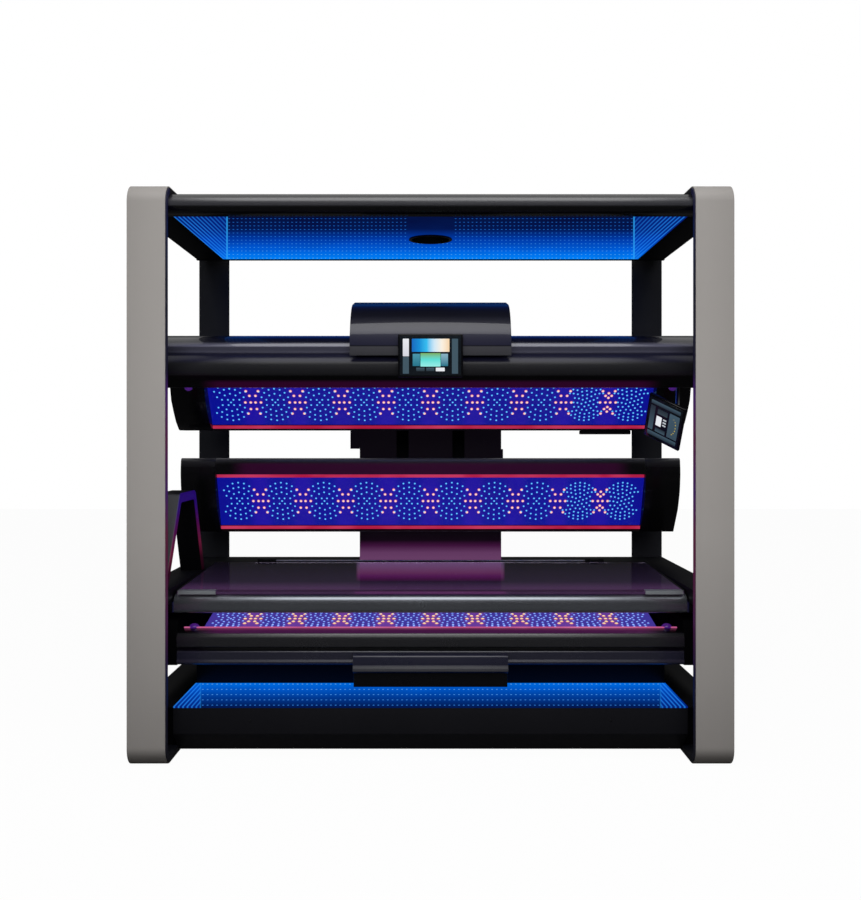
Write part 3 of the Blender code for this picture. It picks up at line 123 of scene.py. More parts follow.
class Graph:
    """A node tree of a material or of the world."""

    def __init__(self, tree):
        self.tree = tree

    def feed(self, socket, value):
        if isinstance(value, Amount):
            self.tree.links.new(value.socket, socket)
        elif isinstance(value, tuple) and socket.type == "RGBA":
            socket.default_value = (*value, 1)
        else:
            socket.default_value = value

    def node(self, kind, settings=None, sockets=None, out=0):
        made = self.tree.nodes.new("ShaderNode" + kind)
        for key, value in (settings or {}).items():
            if key == "stops":
                ramp = made.color_ramp.elements
                while len(ramp) < len(value):
                    ramp.new(0.5)
                for element, (place, color) in zip(ramp, value):
                    element.position = place
                    element.color = (*color, 1)
            else:
                setattr(made, key, value)
        for key, value in (sockets or {}).items():
            self.feed(made.inputs[key], value)
        return Amount(self, made.outputs[out])

    def mix(self, share, first, second):
        return self.node("Mix", {"data_type": "RGBA"}, {0: share, 6: first, 7: second}, 2)

    def ramp(self, share, *stops):
        return self.node("ValToRGB", {"stops": stops}, {0: share})

    def axes(self, where):
        return [self.node("SeparateXYZ", sockets={0: where}, out=axis) for axis in range(3)]

    def place(self):
        """The object's own x, y and z."""
        return self.axes(self.node("TexCoord", out=3))

    def noise(self, scale, detail=2.0, stretch=(1, 1, 1)):
        where = self.node("TexCoord", out=3)
        stretched = self.node("Mapping", sockets={"Vector": where, "Scale": stretch})
        return self.node("TexNoise", sockets={"Vector": stretched, "Scale": scale, "Detail": detail})

    def rays(self):
        """Whether a ray comes from the camera, and whether it was mirrored."""
        return [self.node("LightPath", out=index) for index in (0, 3)]


class Paint(Graph):
    """A material with one Principled shader. Constants go on the shader's own sockets."""

    def __init__(self, name, **constants):
        self.material = bpy.data.materials.new(name)
        self.material.use_nodes = True
        super().__init__(self.material.node_tree)
        self.shader = self.tree.nodes["Principled BSDF"]
        self.set(**constants)

    def set(self, **links):
        for key, value in links.items():
            self.feed(self.shader.inputs[key.replace("_", " ")], value)
        return self

    def bump(self, height, distance, strength=0.3):
        normal = self.node("Bump", sockets={"Strength": strength, "Distance": distance, "Height": height})
        return self.set(Normal=normal)


print("shader tools:", Amount.__name__, Graph.__name__, Paint.__name__)

# %% [markdown]
# ## Finishes
# The frame is taupe paint over metal, and nearly everything else is black or graphite plastic, from satin
# to gloss. Real plastic is never one flat value: the mould leaves a fine grain, and wiping leaves patches
# that are a little glossier. So each finish varies its colour and roughness by a slow noise and takes its
# bump from a fine one.

# %% Painted and moulded finishes
def moulded(name, color, roughness, grain=0.0002, glow=None, shade=None, **constants):
    """Plastic or paint: a slow noise shifts colour and gloss, and a fine one is the grain.

    A shade is a function that paints highlights and shade into the colour over the piece, and a glow one that
    paints lamp light onto it as emission.
    """
    paint = Paint(name, **constants)
    slow = paint.noise(3.0, 3.0)
    fine = paint.noise(900.0, 1.0)
    darker = tuple(0.86 * part for part in color)
    lighter = tuple(min(1.0, 1.1 * part) for part in color)
    varied = paint.mix(slow, darker, lighter)
    paint.set(Base_Color=shade(paint, varied) if shade else varied)
    paint.set(Roughness=slow * 0.10 + (roughness - 0.05) + fine * 0.03)
    if glow:
        paint.set(Emission_Strength=1.0, Emission_Color=glow(paint))
    return paint.bump(fine, grain, 0.15)


SATIN = moulded("black_satin", (0.0045, 0.0045, 0.0055), 0.40, Specular_IOR_Level=0.1)
COAT = moulded("black_coat", (0.005, 0.005, 0.007), 0.5, Specular_IOR_Level=0.1)
GLOSS = moulded("black_gloss", (0.0035, 0.0035, 0.0045), 0.20, Specular_IOR_Level=0.3)
GRAPHITE = moulded("graphite_gloss", (0.205, 0.218, 0.245), 0.24, Metallic=0.8, Specular_IOR_Level=0.8)
MATT = moulded("black_matt", (0.0025, 0.0025, 0.003), 0.7, Specular_IOR_Level=0.0)
FASCIA = moulded("fascia_satin", (0.0075, 0.0075, 0.0095), 0.40, Specular_IOR_Level=0.1)
CHARCOAL = moulded("charcoal_grain", (0.008, 0.008, 0.010), 0.48, grain=0.0006, Specular_IOR_Level=0.2)
print("finishes:", len(bpy.data.materials))

# %% [markdown]
# Where a black piece stands next to a lamp unit, the lamps light it. Some finishes carry that lamp light as a
# painted glow: a colour ramp over the height of the piece, which a mask can keep to one of its faces.

# %% Painted lamp light and masks
UNLIT = (0.0, 0.0, 0.0)
SOFT_EDGE = 0.02


def tint(low, high, *stops, mask=None):
    """Painted lamp light: a glow that follows the height between low and high."""
    def glow(paint):
        x, y, z = paint.place()
        color = paint.ramp((z - low) / (high - low), *stops)
        return paint.mix(mask(x, y - FRONT), UNLIT, color) if mask else color
    return glow


def near_front(x, depth):
    """A mask for the first few centimetres behind the front of the frame."""
    return 1 - depth.within(0.05, 0.05 + SOFT_EDGE)


def inner_side(x, depth):
    """A mask for the face of the hoop that looks at the lamps."""
    return x.over(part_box("grab_hoop")[1].x - 0.002)


def lamp_side(x, depth):
    """A mask for the length that has lamps, without the two ends of the bed."""
    return 1 - x.size().within(0.86, 0.96)


def front_of(node, reach):
    """A mask for the front of a solid, down to a reach behind its foremost point."""
    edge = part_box(node)[0].y - FRONT + reach
    return lambda x, depth: (1 - depth.within(edge, edge + SOFT_EDGE)) * lamp_side(x, depth)


# %% [markdown]
# Rounded black plastic is easiest to read by its bands of light and shade: a dark foot, a paler edge, a dark
# groove.
# These are painted highlights and painted shade: a shade sets a colour for each height, so that a band stays
# sharp where the reflection alone would be soft.

# %% Painted highlight and shade bands
OWN_SHARE = 0.12


def painted_light_bands(low, high, *stops):
    """Painted highlights and shade: a colour for each height between low and high, mottled by the finish's own
    colour.
    """
    def shade(paint, varied):
        z = paint.place()[2]
        return paint.mix(OWN_SHARE, paint.ramp((z - low) / (high - low), *stops), varied)
    return shade


def grey(value, blue=1.15):
    """A grey with a little more blue in it."""
    return (value, value, value * blue)


print("a grey:", grey(0.04))

# %% [markdown]
# The frame comes first: the painted loops carry painted shade at the foot and a painted lighter band around
# middle height, and their liners and the grab hoop carry painted lamp light.

# %% Finishes of the frame and the hoop
HOOP_FOOT = 0.69
HOOP_LEAN = 0.641
HOOP_FRONT = 0.05


def shaded_except_front_face(paint, varied):
    """Painted shade: black, except for the slanted front face of the hoop, which keeps the charcoal colour."""
    _, y, z = paint.place()
    behind = (y - FRONT) - ((z - HOOP_FOOT) * HOOP_LEAN + HOOP_FRONT)
    return paint.mix(behind.within(0.008, 0.016), varied, (0.003, 0.003, 0.004))


# Painted shade and light: the taupe turns near-black at the foot, is lightest around middle height and a
# little darker at the top.
TAUPE = moulded("taupe_paint", (0.300, 0.283, 0.268), 0.5, Specular_IOR_Level=0.3, shade=painted_light_bands(
    0.0, 2.315, (0.0, (0.07, 0.064, 0.059)), (0.017, (0.09, 0.083, 0.077)), (0.036, (0.25, 0.235, 0.222)),
    (0.15, (0.30, 0.283, 0.268)), (0.40, (0.365, 0.344, 0.326)), (0.65, (0.355, 0.335, 0.317)),
    (1.0, (0.295, 0.278, 0.263))))
# Painted lamp light: a glow along the front of each liner, in bands at the heights of the lamp units and the
# roof panel.
LINER = moulded("liner_satin", (0.016, 0.0165, 0.020), 0.45, Specular_IOR_Level=0.15, glow=tint(
    0.0, 2.315, (0.0, UNLIT), (0.16, (0.001, 0.0, 0.012)), (0.24, (0.030, 0.002, 0.030)),
    (0.40, (0.070, 0.004, 0.022)), (0.47, (0.030, 0.003, 0.070)), (0.56, (0.060, 0.002, 0.030)),
    (0.64, (0.030, 0.001, 0.080)), (0.68, (0.001, 0.0, 0.010)), (0.84, (0.0, 0.0, 0.003)),
    (0.94, (0.001, 0.001, 0.020)), mask=near_front))
# Painted lamp light on the hoop's inner face: red-pink at middle height, blue near the top.
HOOP_LAMP_LIGHT = tint(
    HOOP_FOOT, 1.08, (0.0, (0.006, 0.0, 0.002)), (0.18, (0.020, 0.001, 0.006)), (0.36, (0.105, 0.006, 0.028)),
    (0.60, (0.050, 0.002, 0.052)), (0.82, (0.016, 0.001, 0.105)), (1.0, (0.012, 0.001, 0.110)),
    mask=inner_side)
HOOP = moulded("hoop_charcoal", (0.062, 0.064, 0.068), 0.45, Specular_IOR_Level=0.1, shade=shaded_except_front_face,
               glow=HOOP_LAMP_LIGHT)
# Painted highlight: a pale band across the front of the roof nose, near-black above and below it.
NOSE = moulded("nose_gloss", (0.006, 0.006, 0.007), 0.24, Specular_IOR_Level=0.75, shade=painted_light_bands(
    2.19, 2.32, (0.0, grey(0.001)), (0.28, grey(0.001)), (0.34, grey(0.038)), (0.48, grey(0.038)),
    (0.60, grey(0.004)), (1.0, grey(0.004))))
print("finishes:", len(bpy.data.materials))

# %% [markdown]
# The canopy, the back panel, the mast and the bed follow in the same way, with painted highlight and shade
# bands and painted lamp light. The rounded hood and the canopy's rim also get a clear coat, but only over the
# heights that shine.

# %% Finishes of the lamp units
# Painted lamp light: the magenta that the red strips cast on the black parts next to them, and the pink that
# the bed's strip casts on the top of the bed's rim.
MAGENTA_LAMP_LIGHT = (0.021, 0.0005, 0.015)
PINK_STRIP_LIGHT = (0.042, 0.003, 0.036)
# Painted highlight and shade: a pale band near the top of the canopy's rim, dark blue-black bands below it and
# a black foot; the foot also carries painted magenta lamp light.
RIM = moulded("canopy_rim", (0.004, 0.004, 0.006), 0.24, Specular_IOR_Level=0.25, shade=painted_light_bands(
    1.50, 1.74, (0.0, grey(0.001)), (0.24, grey(0.001)), (0.28, grey(0.014)), (0.46, grey(0.014)),
    (0.52, grey(0.010, 2.6)), (0.64, grey(0.008, 2.6)), (0.69, grey(0.104, 1.45)), (0.78, grey(0.104, 1.45)),
    (0.84, grey(0.004, 2.6)), (1.0, grey(0.002, 2.0))), glow=tint(
    1.50, 1.56, (0.0, MAGENTA_LAMP_LIGHT), (0.55, MAGENTA_LAMP_LIGHT), (0.75, UNLIT), mask=lamp_side))
# Painted highlights: a paler band on the hood's front slope and a paler lip below a dark seam line; painted
# shade makes the crest near-black.
HOOD = moulded("hood_gloss", (0.010, 0.010, 0.014), 0.30, Specular_IOR_Level=0.10, shade=painted_light_bands(
    1.64, 1.92, (0.0, grey(0.046)), (0.135, grey(0.052)), (0.145, grey(0.004)), (0.16, grey(0.016, 2.2)),
    (0.36, grey(0.030, 1.6)), (0.60, grey(0.006, 1.6)), (1.0, grey(0.001, 3.0))))
# Painted highlight on the lower hood's lip, and painted shade on the face below it, which turns away from the
# light.
LOWER_HOOD = moulded("lower_hood_gloss", (0.012, 0.013, 0.024), 0.26, Specular_IOR_Level=0.55, shade=painted_light_bands(
    0.30, 0.44, (0.0, grey(0.0005)), (0.40, grey(0.0005)), (0.44, grey(0.050)), (0.55, grey(0.045)),
    (0.60, grey(0.012, 2.0)), (1.0, grey(0.014, 2.0))))
# Painted lamp light: the front of the mast cover glows violet at its foot, where the bed's lamps and strip
# light it.
MAST = moulded("mast_black", (0.004, 0.003, 0.005), 0.35, Specular_IOR_Level=0.2, glow=tint(
    0.70, 0.84, (0.0, (0.13, 0.046, 0.125)), (0.22, (0.115, 0.038, 0.110)), (0.47, (0.043, 0.005, 0.038)),
    (0.66, (0.004, 0.0010, 0.004)), (1.0, (0.0027, 0.0018, 0.0033)), mask=front_of("mast_cover", 0.02)))
# Painted highlight: the back panel's end caps are paler along their top edge.
BACK_CAP = moulded("back_cap_gloss", (0.004, 0.004, 0.005), 0.22, Specular_IOR_Level=0.3, shade=painted_light_bands(
    1.08, 1.22, (0.0, grey(0.0025)), (0.60, grey(0.006)), (0.84, grey(0.030)), (0.92, grey(0.060)),
    (1.0, grey(0.060))))
# Painted highlight along the housing's top edge; below it the housing is near-black, and its front carries
# painted magenta lamp light from the strip under it.
HOUSING = moulded("housing_black", (0.020, 0.019, 0.024), 0.32, Specular_IOR_Level=0.9, shade=painted_light_bands(
    1.12, 1.22, (0.0, grey(0.0005)), (0.60, grey(0.0005)), (0.72, grey(0.020)), (0.84, grey(0.080)),
    (1.0, grey(0.100))), glow=tint(
    1.12, 1.20, (0.0, MAGENTA_LAMP_LIGHT), (0.75, MAGENTA_LAMP_LIGHT), (0.88, UNLIT), mask=front_of("back_panel_housing", 0.03)))
# Painted shade: black in the groove and along the top of the bed's rim, dark grey between, bluer below the
# groove; the top carries painted pink light from the bed's strip.
BED_RIM = moulded("bed_rim", (0.012, 0.012, 0.015), 0.24, Specular_IOR_Level=0.9, shade=painted_light_bands(
    0.38, 0.52, (0.0, grey(0.016, 1.8)), (0.36, grey(0.016, 1.8)), (0.38, UNLIT), (0.47, UNLIT),
    (0.49, grey(0.014)), (0.87, grey(0.014)), (0.90, UNLIT), (1.0, UNLIT)), glow=tint(
    0.49, 0.52, (0.0, UNLIT), (0.38, UNLIT), (0.48, PINK_STRIP_LIGHT), (1.0, PINK_STRIP_LIGHT), mask=lamp_side))
hood_height = HOOD.place()[2]
HOOD.set(Coat_Weight=hood_height.within(1.69, 1.745) * (1 - hood_height.within(1.78, 1.83)) * 0.6)
rim_height = RIM.place()[2]
RIM.set(Coat_Weight=rim_height.within(1.655, 1.66) * 0.8)
print("finishes:", len(bpy.data.materials))

# %% [markdown]
# Steel parts inside the mast are brushed: long scratches along one direction. A noise that is stretched
# along the height gives lines, which change the roughness and the bump together.

# %% Brushed steel
STEEL = Paint("brushed_steel", Metallic=1.0)
lines = STEEL.noise(60.0, 4.0, (8, 8, 0.3))
STEEL.set(Base_Color=STEEL.mix(lines, (0.32, 0.33, 0.34), (0.52, 0.53, 0.55)), Roughness=lines * 0.25 + 0.22)
STEEL.bump(lines, 0.0003)
print("steel has", len(STEEL.tree.nodes), "nodes")

# %% [markdown]
# ## Cleaning up the solids
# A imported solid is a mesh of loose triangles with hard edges. A dressed copy merges the triangles, dissolves
# the flat ones into whole faces and rounds the edges by a millimetre or so, because it is the small round
# edges that catch the light on a real product. The copy stands for the solid, which stays in the physics.

# %% Dress a solid
def plain_mesh(obj):
    """Bakes the modifiers of an object into its mesh."""
    graph = bpy.context.evaluated_depsgraph_get()
    mesh = bpy.data.meshes.new_from_object(obj.evaluated_get(graph))
    obj.modifiers.clear()
    obj.data = mesh


EDGE = 0.0012
SHARP = math.radians(38)
FLAT = math.radians(0.4)
WELD = 2e-5


def dress(node, paint, edge=EDGE):
    """A cleaned copy of a solid with round edges and a finish, in the solid's place."""
    work = bmesh.new()
    work.from_mesh(nodes[node].data)
    bmesh.ops.remove_doubles(work, verts=work.verts, dist=WELD)
    bmesh.ops.dissolve_limit(work, angle_limit=FLAT, verts=work.verts, edges=work.edges)
    mesh = bpy.data.meshes.new(node + "_dressed")
    work.to_mesh(mesh)
    work.free()
    for layer in [item.name for item in mesh.attributes if item.name == "custom_normal"]:
        mesh.attributes.remove(mesh.attributes[layer])
    piece = bpy.data.objects.new(node + "_dressed", mesh)
    scene.collection.objects.link(piece)
    if edge:
        bevel = piece.modifiers.new("round", "BEVEL")
        bevel.width = edge
        bevel.segments = 2
        bevel.limit_method = "ANGLE"
        bevel.angle_limit = SHARP
        plain_mesh(piece)
    piece.data.shade_smooth()
    piece.data.set_sharp_from_angle(angle=SHARP)
    piece.data.materials.clear()
    piece.data.materials.append(paint.material)
    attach(piece, body_of_node[node])
    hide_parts(node)


print("edges are rounded by", EDGE, "m")

# %% [markdown]
# Most solids take one of the finishes above. Very small ones keep their sharp edges, which save faces and
# can't be seen. The lamp boards, light panels, strips, glass and the bench sheet come later.

# %% Dress the plain solids
FINISH = {
    TAUPE: ["left_skin", "right_skin"],
    LINER: ["left_liner", "right_liner"],
    SATIN: ["roof_cover", "base_covers", "base_chassis", "pedestal", "bed_deck", "bench_frame",
            "canopy_sensor_box"],
    FASCIA: ["base_fascia"],
    MATT: ["bed_tray", "bed_end_cap_left", "bed_end_cap_right"],
    GLOSS: ["canopy_end_cap_left", "canopy_end_cap_right", "ceiling_vent", "display_case", "tablet_case",
            "mains_inlet"],
    BACK_CAP: ["back_panel_end_cap_left", "back_panel_end_cap_right"],
    GRAPHITE: ["bench_front_rail"],
    NOSE: ["roof_nose"],
    RIM: ["canopy_front_rim"],
    BED_RIM: ["bed_front_rim"],
    HOOD: ["canopy_hood"],
    LOWER_HOOD: ["lower_hood"],
    MAST: ["mast_cover"],
    HOUSING: ["back_panel_housing"],
    HOOP: ["grab_hoop"],
    CHARCOAL: ["canopy_shell", "power_supply", "fan_frame_left", "fan_frame_right", "fan_rotor_left",
               "fan_rotor_right"],
    COAT: ["mast_column", "lift_actuator", "lift_rod", "canopy_carriage", "back_panel_carriage"],
    STEEL: ["bench_hinge_rod", "tablet_arm", "tablet_pin"],
}
SMALL = ("fan_frame_left", "fan_frame_right", "fan_rotor_left", "fan_rotor_right", "tablet_arm", "tablet_pin",
         "bench_hinge_rod", "lift_rod")
for paint, members in FINISH.items():
    for member in members:
        dress(member, paint, 0.0 if member in SMALL else EDGE)
print("dressed", sum(len(members) for members in FINISH.values()), "solids")

# %% [markdown]
# ## Light panels
# The ceiling and the base carry flat panels that are lit from behind in blue: dark at the front, bright at
# the rear. Towards the two ends the dots stop at a slanted border, and fine lines run to the rear instead.
# The glow is a colour ramp over the depth of the panel, and the lines are a wave along its length.

# %% Blue light panels
FAN_DEPTH = 4.05
ROOF_EDGE = 0.1983
BASE_EDGE = 0.2242
ROOF_DEPTHS = (0.115, 1.11)
BASE_DEPTHS = (0.11, 0.51)
RIB = 0.018
PANEL_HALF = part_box("roof_light_panel")[1].x


def depth_share(paint, depths):
    """0 at the nearer depth and 1 at the farther one."""
    near, far = depths
    return (paint.place()[1] - FRONT - near) / (far - near)


def light_panel(name, edge, border, depths, *stops):
    """A panel lit from behind. Its lined ends start where x is edge times the distance to the fan's point."""
    paint = Paint(name, Roughness=0.35, Emission_Strength=1.0, Specular_IOR_Level=0.0,
                  Base_Color=(0.001, 0.003, 0.015))
    x, y, _ = paint.place()
    glow = paint.ramp(depth_share(paint, depths), *stops)
    share = x.size() / (y - FRONT + FAN_DEPTH)
    rib = (x * (2 * math.pi / RIB)).wave().within(-0.2, 0.9)
    outer = (x.size() / PANEL_HALF).within(0.80, 1.0) * 0.35 + 0.30
    fill = paint.mix(share.over(edge) * 0.30, glow, (0.0, 0.03, 0.50))
    lined = paint.mix(share.over(edge) * rib * outer, fill, (0.02, 0.27, 0.95))
    line = (1 - (share - edge).size().within(0.0004, 0.0010)) * border
    cloud = paint.noise(5.0, 2.0).within(0.3, 0.7) * 0.15
    soft = paint.mix(cloud, lined, (0.0, 0.02, 0.14))
    return paint.set(Emission_Color=paint.mix(line, soft, (0.03, 0.42, 1.0)))


ROOF_LIGHT = light_panel(
    "roof_light", ROOF_EDGE, 0.65, ROOF_DEPTHS, (0.0, (0.001, 0.003, 0.034)), (0.25, (0.001, 0.0070, 0.070)),
    (0.5, (0.0, 0.046, 0.42)), (0.75, (0.0, 0.115, 0.72)), (1.0, (0.0, 0.235, 1.0)))
BASE_LIGHT = light_panel(
    "base_light", BASE_EDGE, 0.15, BASE_DEPTHS, (0.0, (0.0, 0.007, 0.070)), (0.35, (0.0, 0.040, 0.28)),
    (0.75, (0.0, 0.10, 0.60)), (1.0, (0.0, 0.16, 0.78)))
dress("roof_light_panel", ROOF_LIGHT)
dress("base_light_panel", BASE_LIGHT)
dots_end = ROOF_EDGE * (FAN_DEPTH + ROOF_DEPTHS[1])
print("light panels: the dots end at", round(dots_end, 3), "m at the rear of the roof")

# %% [markdown]
# ## Small lamps, many times over
# Each lamp board carries hundreds of small lamps in rows of round groups. Copying them by hand would be
# slow, so a Geometry Nodes tree puts one small stepped cone on every point of a point cloud. The tree also
# writes how high each place is on its cone, and the material turns that into a bright core with a soft halo.

# %% A tree that sets a lamp on every point
def lamp_tree():
    """The tree, and the names that Blender gave to its inputs."""
    tree = bpy.data.node_groups.new("lamps_on_points", "GeometryNodeTree")
    face = tree.interface
    face.new_socket("Geometry", in_out="INPUT", socket_type="NodeSocketGeometry")
    ids = {}
    for name, kind in (("Halo radius", "Float"), ("Core radius", "Float"), ("Lamp height", "Float"),
                       ("Facing", "Vector"), ("Lamp finish", "Material")):
        ids[name] = face.new_socket(name, in_out="INPUT", socket_type="NodeSocket" + kind).identifier
    face.new_socket("Geometry", in_out="OUTPUT", socket_type="NodeSocketGeometry")

    def add(kind, settings=None, **sockets):
        made = tree.nodes.new(kind)
        for key, value in (settings or {}).items():
            setattr(made, key, value)
        for key, value in sockets.items():
            target = made.inputs[key.replace("_", " ")]
            if isinstance(value, bpy.types.NodeSocket):
                tree.links.new(value, target)
            else:
                target.default_value = value
        return made

    given = add("NodeGroupInput").outputs
    cone = add("GeometryNodeMeshCone", {"fill_type": "NGON"}, Vertices=8, Side_Segments=2,
               Radius_Top=given["Core radius"], Radius_Bottom=given["Halo radius"],
               Depth=given["Lamp height"])
    height = add("ShaderNodeSeparateXYZ", Vector=add("GeometryNodeInputPosition").outputs[0])
    share = add("ShaderNodeMath", {"operation": "DIVIDE"})
    tree.links.new(height.outputs[2], share.inputs[0])
    tree.links.new(given["Lamp height"], share.inputs[1])
    marked = add("GeometryNodeStoreNamedAttribute", {"data_type": "FLOAT", "domain": "POINT"},
                 Geometry=cone.outputs["Mesh"], Name="core", Value=share.outputs[0])
    turned = add("FunctionNodeEulerToRotation", Euler=given["Facing"])
    placed = add("GeometryNodeInstanceOnPoints", Points=given["Geometry"], Instance=marked.outputs[0],
                 Rotation=turned.outputs[0])
    real = add("GeometryNodeRealizeInstances", Geometry=placed.outputs[0])
    painted = add("GeometryNodeSetMaterial", Geometry=real.outputs[0], Material=given["Lamp finish"])
    add("NodeGroupOutput", Geometry=painted.outputs[0])
    return tree, ids


LAMP_TREE, LAMP_INPUTS = lamp_tree()


def lamps(name, points, facing, sizes, paint, body):
    """Sets lamps of (halo radius, core radius, height) on points, facing along a direction."""
    mesh = bpy.data.meshes.new(name)
    mesh.from_pydata(points, [], [])
    piece = bpy.data.objects.new(name, mesh)
    scene.collection.objects.link(piece)
    change = piece.modifiers.new("lamps", "NODES")
    change.node_group = LAMP_TREE
    turn = Vector(facing).to_track_quat("Z", "Y").to_euler()
    values = dict(zip(("Halo radius", "Core radius", "Lamp height"), sizes))
    values.update({"Facing": turn, "Lamp finish": paint.material})
    for key, value in values.items():
        change[LAMP_INPUTS[key]] = value
    plain_mesh(piece)
    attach(piece, body)
    print(name, "has", len(points), "lamps and", len(piece.data.polygons), "faces")


print("the tree has", len(LAMP_TREE.nodes), "nodes")

# %% [markdown]
# A lit lamp is white-hot in the middle and takes its colour at the rim. The height that the tree wrote runs
# from 0 at the board to 1 at the tip, so one colour ramp gives both.

# %% Lamp finishes
def lamp_paint(name, halo, rim, core):
    """A lamp with the colours of its halo, of its rim and of its core."""
    paint = Paint(name, Roughness=0.3, Emission_Strength=1.0, Base_Color=(0.02, 0.02, 0.06))
    share = paint.node("Attribute", {"attribute_name": "core"}, out=2)
    return paint.set(Emission_Color=paint.ramp(share, (0.0, halo), (0.4, rim), (0.7, core)))


BLUE_LAMP = lamp_paint("blue_lamp", (0.006, 0.04, 0.50), (0.03, 0.32, 0.95), (0.16, 0.62, 1.0))
WARM_LAMP = lamp_paint("warm_lamp", (0.12, 0.010, 0.30), (0.75, 0.10, 0.16), (1.0, 0.70, 0.58))
BED_BLUE = lamp_paint("bed_blue_lamp", (0.05, 0.07, 0.55), (0.12, 0.22, 0.95), (0.34, 0.52, 1.0))
BED_WARM = lamp_paint("bed_warm_lamp", (0.40, 0.06, 0.22), (1.0, 0.30, 0.10), (1.0, 0.80, 0.44))


def dot_paint(name, depths, *stops):
    """A dot that is as bright as the panel around it allows: its colour follows the depth."""
    paint = Paint(name, Roughness=0.3, Emission_Strength=1.0, Base_Color=(0.0, 0.01, 0.06))
    color = paint.ramp(depth_share(paint, depths), *stops)
    core = paint.node("Attribute", {"attribute_name": "core"}, out=2)
    return paint.set(Emission_Color=paint.mix(core.within(0.0, 0.7) * 0.7 + 0.3, (0.0, 0.05, 0.40), color))


ROOF_DOT = dot_paint("roof_dot", ROOF_DEPTHS, (0.0, (0.010, 0.10, 0.42)), (0.4, (0.02, 0.20, 0.75)),
                     (0.75, (0.06, 0.42, 1.0)), (1.0, (0.14, 0.62, 1.0)))
BASE_DOT = dot_paint("base_dot", BASE_DEPTHS, (0.0, (0.03, 0.22, 0.70)), (1.0, (0.14, 0.52, 1.0)))
print("lamp and dot finishes: 6")

# %% [markdown]
# ## Lamp boards
# The boards carry painted lamp light: a deep blue glow that turns purple near the warm lamps. One disc of blue
# lamps is a set of rings; at its sides, where the warm lamps stand, the outer rings are left open. The last
# two discs of the upper units are closer packed, and so is the warm group between them.

# %% Painted board light and the pattern of one disc
PITCH = 0.2045
DISCS = 10
MM = 0.001


def painted_board_light(name, cool, warmer, dim):
    """Painted lamp light on a board: cool under the blue lamps and warmer between the discs, with dim patches.
    """
    paint = Paint(name, Roughness=0.25, Emission_Strength=1.0, Base_Color=(0.004, 0.003, 0.03))
    x, _, _ = paint.place()
    warm = ((x * (2 * math.pi / PITCH) + math.pi / 2).wave() * 0.5 + 0.5).within(0.25, 1.0)
    haze = paint.noise(6.0, 2.0).within(0.3, 0.7)
    inside = 1 - x.size().within(0.90, 0.95)
    glow = paint.mix(warm * inside, cool, warmer)
    return paint.set(Emission_Color=paint.mix(haze * 0.35, glow, dim))


BOARD = painted_board_light("lamp_board_glow", (0.002, 0.005, 0.28), (0.012, 0.005, 0.34), (0.006, 0.004, 0.23))
BED_BOARD = painted_board_light("bed_board_glow", (0.045, 0.035, 0.30), (0.150, 0.045, 0.32), (0.08, 0.030, 0.27))


def ring(radius, count, start=0.0, stretch=1.12):
    """Places of a ring of lamps: along the bed, and up the board."""
    found = []
    for index in range(count):
        angle = 2 * math.pi * index / count + start
        found.append((radius * math.sin(angle) * MM, radius * stretch * math.cos(angle) * MM))
    return found


def disc(dense):
    """Places of the blue lamps of one disc, without those that the warm lamps take."""
    if dense:
        rings = [(0, 1, 0), (20, 6, 0.2), (38, 11, 0.1), (56, 16, 0), (73, 20, 0), (88, 24, 0)]
    else:
        rings = [(0, 1, 0), (18, 4, math.pi / 4), (42, 10, 0), (66, 16, 0), (88, 20, 0)]
    places = []
    for radius, count, start in rings:
        places += ring(radius, count, start)
    side = 62 * MM
    return [(x, up) for x, up in places if abs(x) < side or abs(up) > 0.45 * abs(x)]


def warm_group(dense):
    """Places of the warm lamps between two discs."""
    half = [(28, 61), (14, 36), (36, 0), (11, 0), (14, -36), (28, -61)]
    places = [(side * x * MM, up * MM) for x, up in half for side in (-1, 1)]
    if dense:
        places += [(0, up * MM) for up in (-50, -25, 25, 50)]
    return places


print("one disc has", len(disc(False)), "lamps, a dense one", len(disc(True)))

# %% [markdown]
# A row of discs is laid out on the slanted face of a board: `middle` is the point of the face under the
# middle of the row, and `up` the direction that climbs the board.

# %% Rows of lamps on the boards
BLUE_SIZE = (0.0052, 0.0021, 0.0030)
WARM_SIZE = (0.0080, 0.0034, 0.0036)
BED_BLUE_SIZE = (0.0066, 0.0027, 0.0030)
BED_WARM_SIZE = (0.0098, 0.0046, 0.0036)
MARGIN = 0.012
LIFT = 0.0002
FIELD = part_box("back_panel_lamp_board")[1].x - MARGIN


def row(middle, up, reach, dense_from):
    """Points of the blue and the warm lamps of one row of discs, cut off at a reach up and down."""
    blue = []
    warm = []
    for index in range(DISCS):
        centre = (index - (DISCS - 1) / 2) * PITCH
        blue += [(centre + x, s) for x, s in disc(index >= dense_from)]
        if index < DISCS - 1:
            warm += [(centre + PITCH / 2 + x, s) for x, s in warm_group(index >= dense_from)]
    low, high = reach
    points = []
    for group in (blue, warm):
        kept = [(x, s) for x, s in group if low < s < high and abs(x) < FIELD]
        points.append([middle + Vector((x, 0, 0)) + up * s for x, s in kept])
    return points


def lamp_board(word, body, rows, facing, cool=(BLUE_LAMP, BLUE_SIZE), hot=(WARM_LAMP, WARM_SIZE)):
    """All lamps of a board, as one piece of blue lamps and one of warm lamps."""
    blue = []
    warm = []
    for middle, up, reach, dense_from in rows:
        more_blue, more_warm = row(middle, up, reach, dense_from)
        blue += more_blue
        warm += more_warm
    lift = Vector(facing).normalized() * LIFT
    for kind, points, (paint, sizes) in (("blue", blue, cool), ("warm", warm, hot)):
        lifted = [point + lift for point in points]
        lamps(f"{word}_{kind}_lamps", lifted, facing, sizes, paint, body)


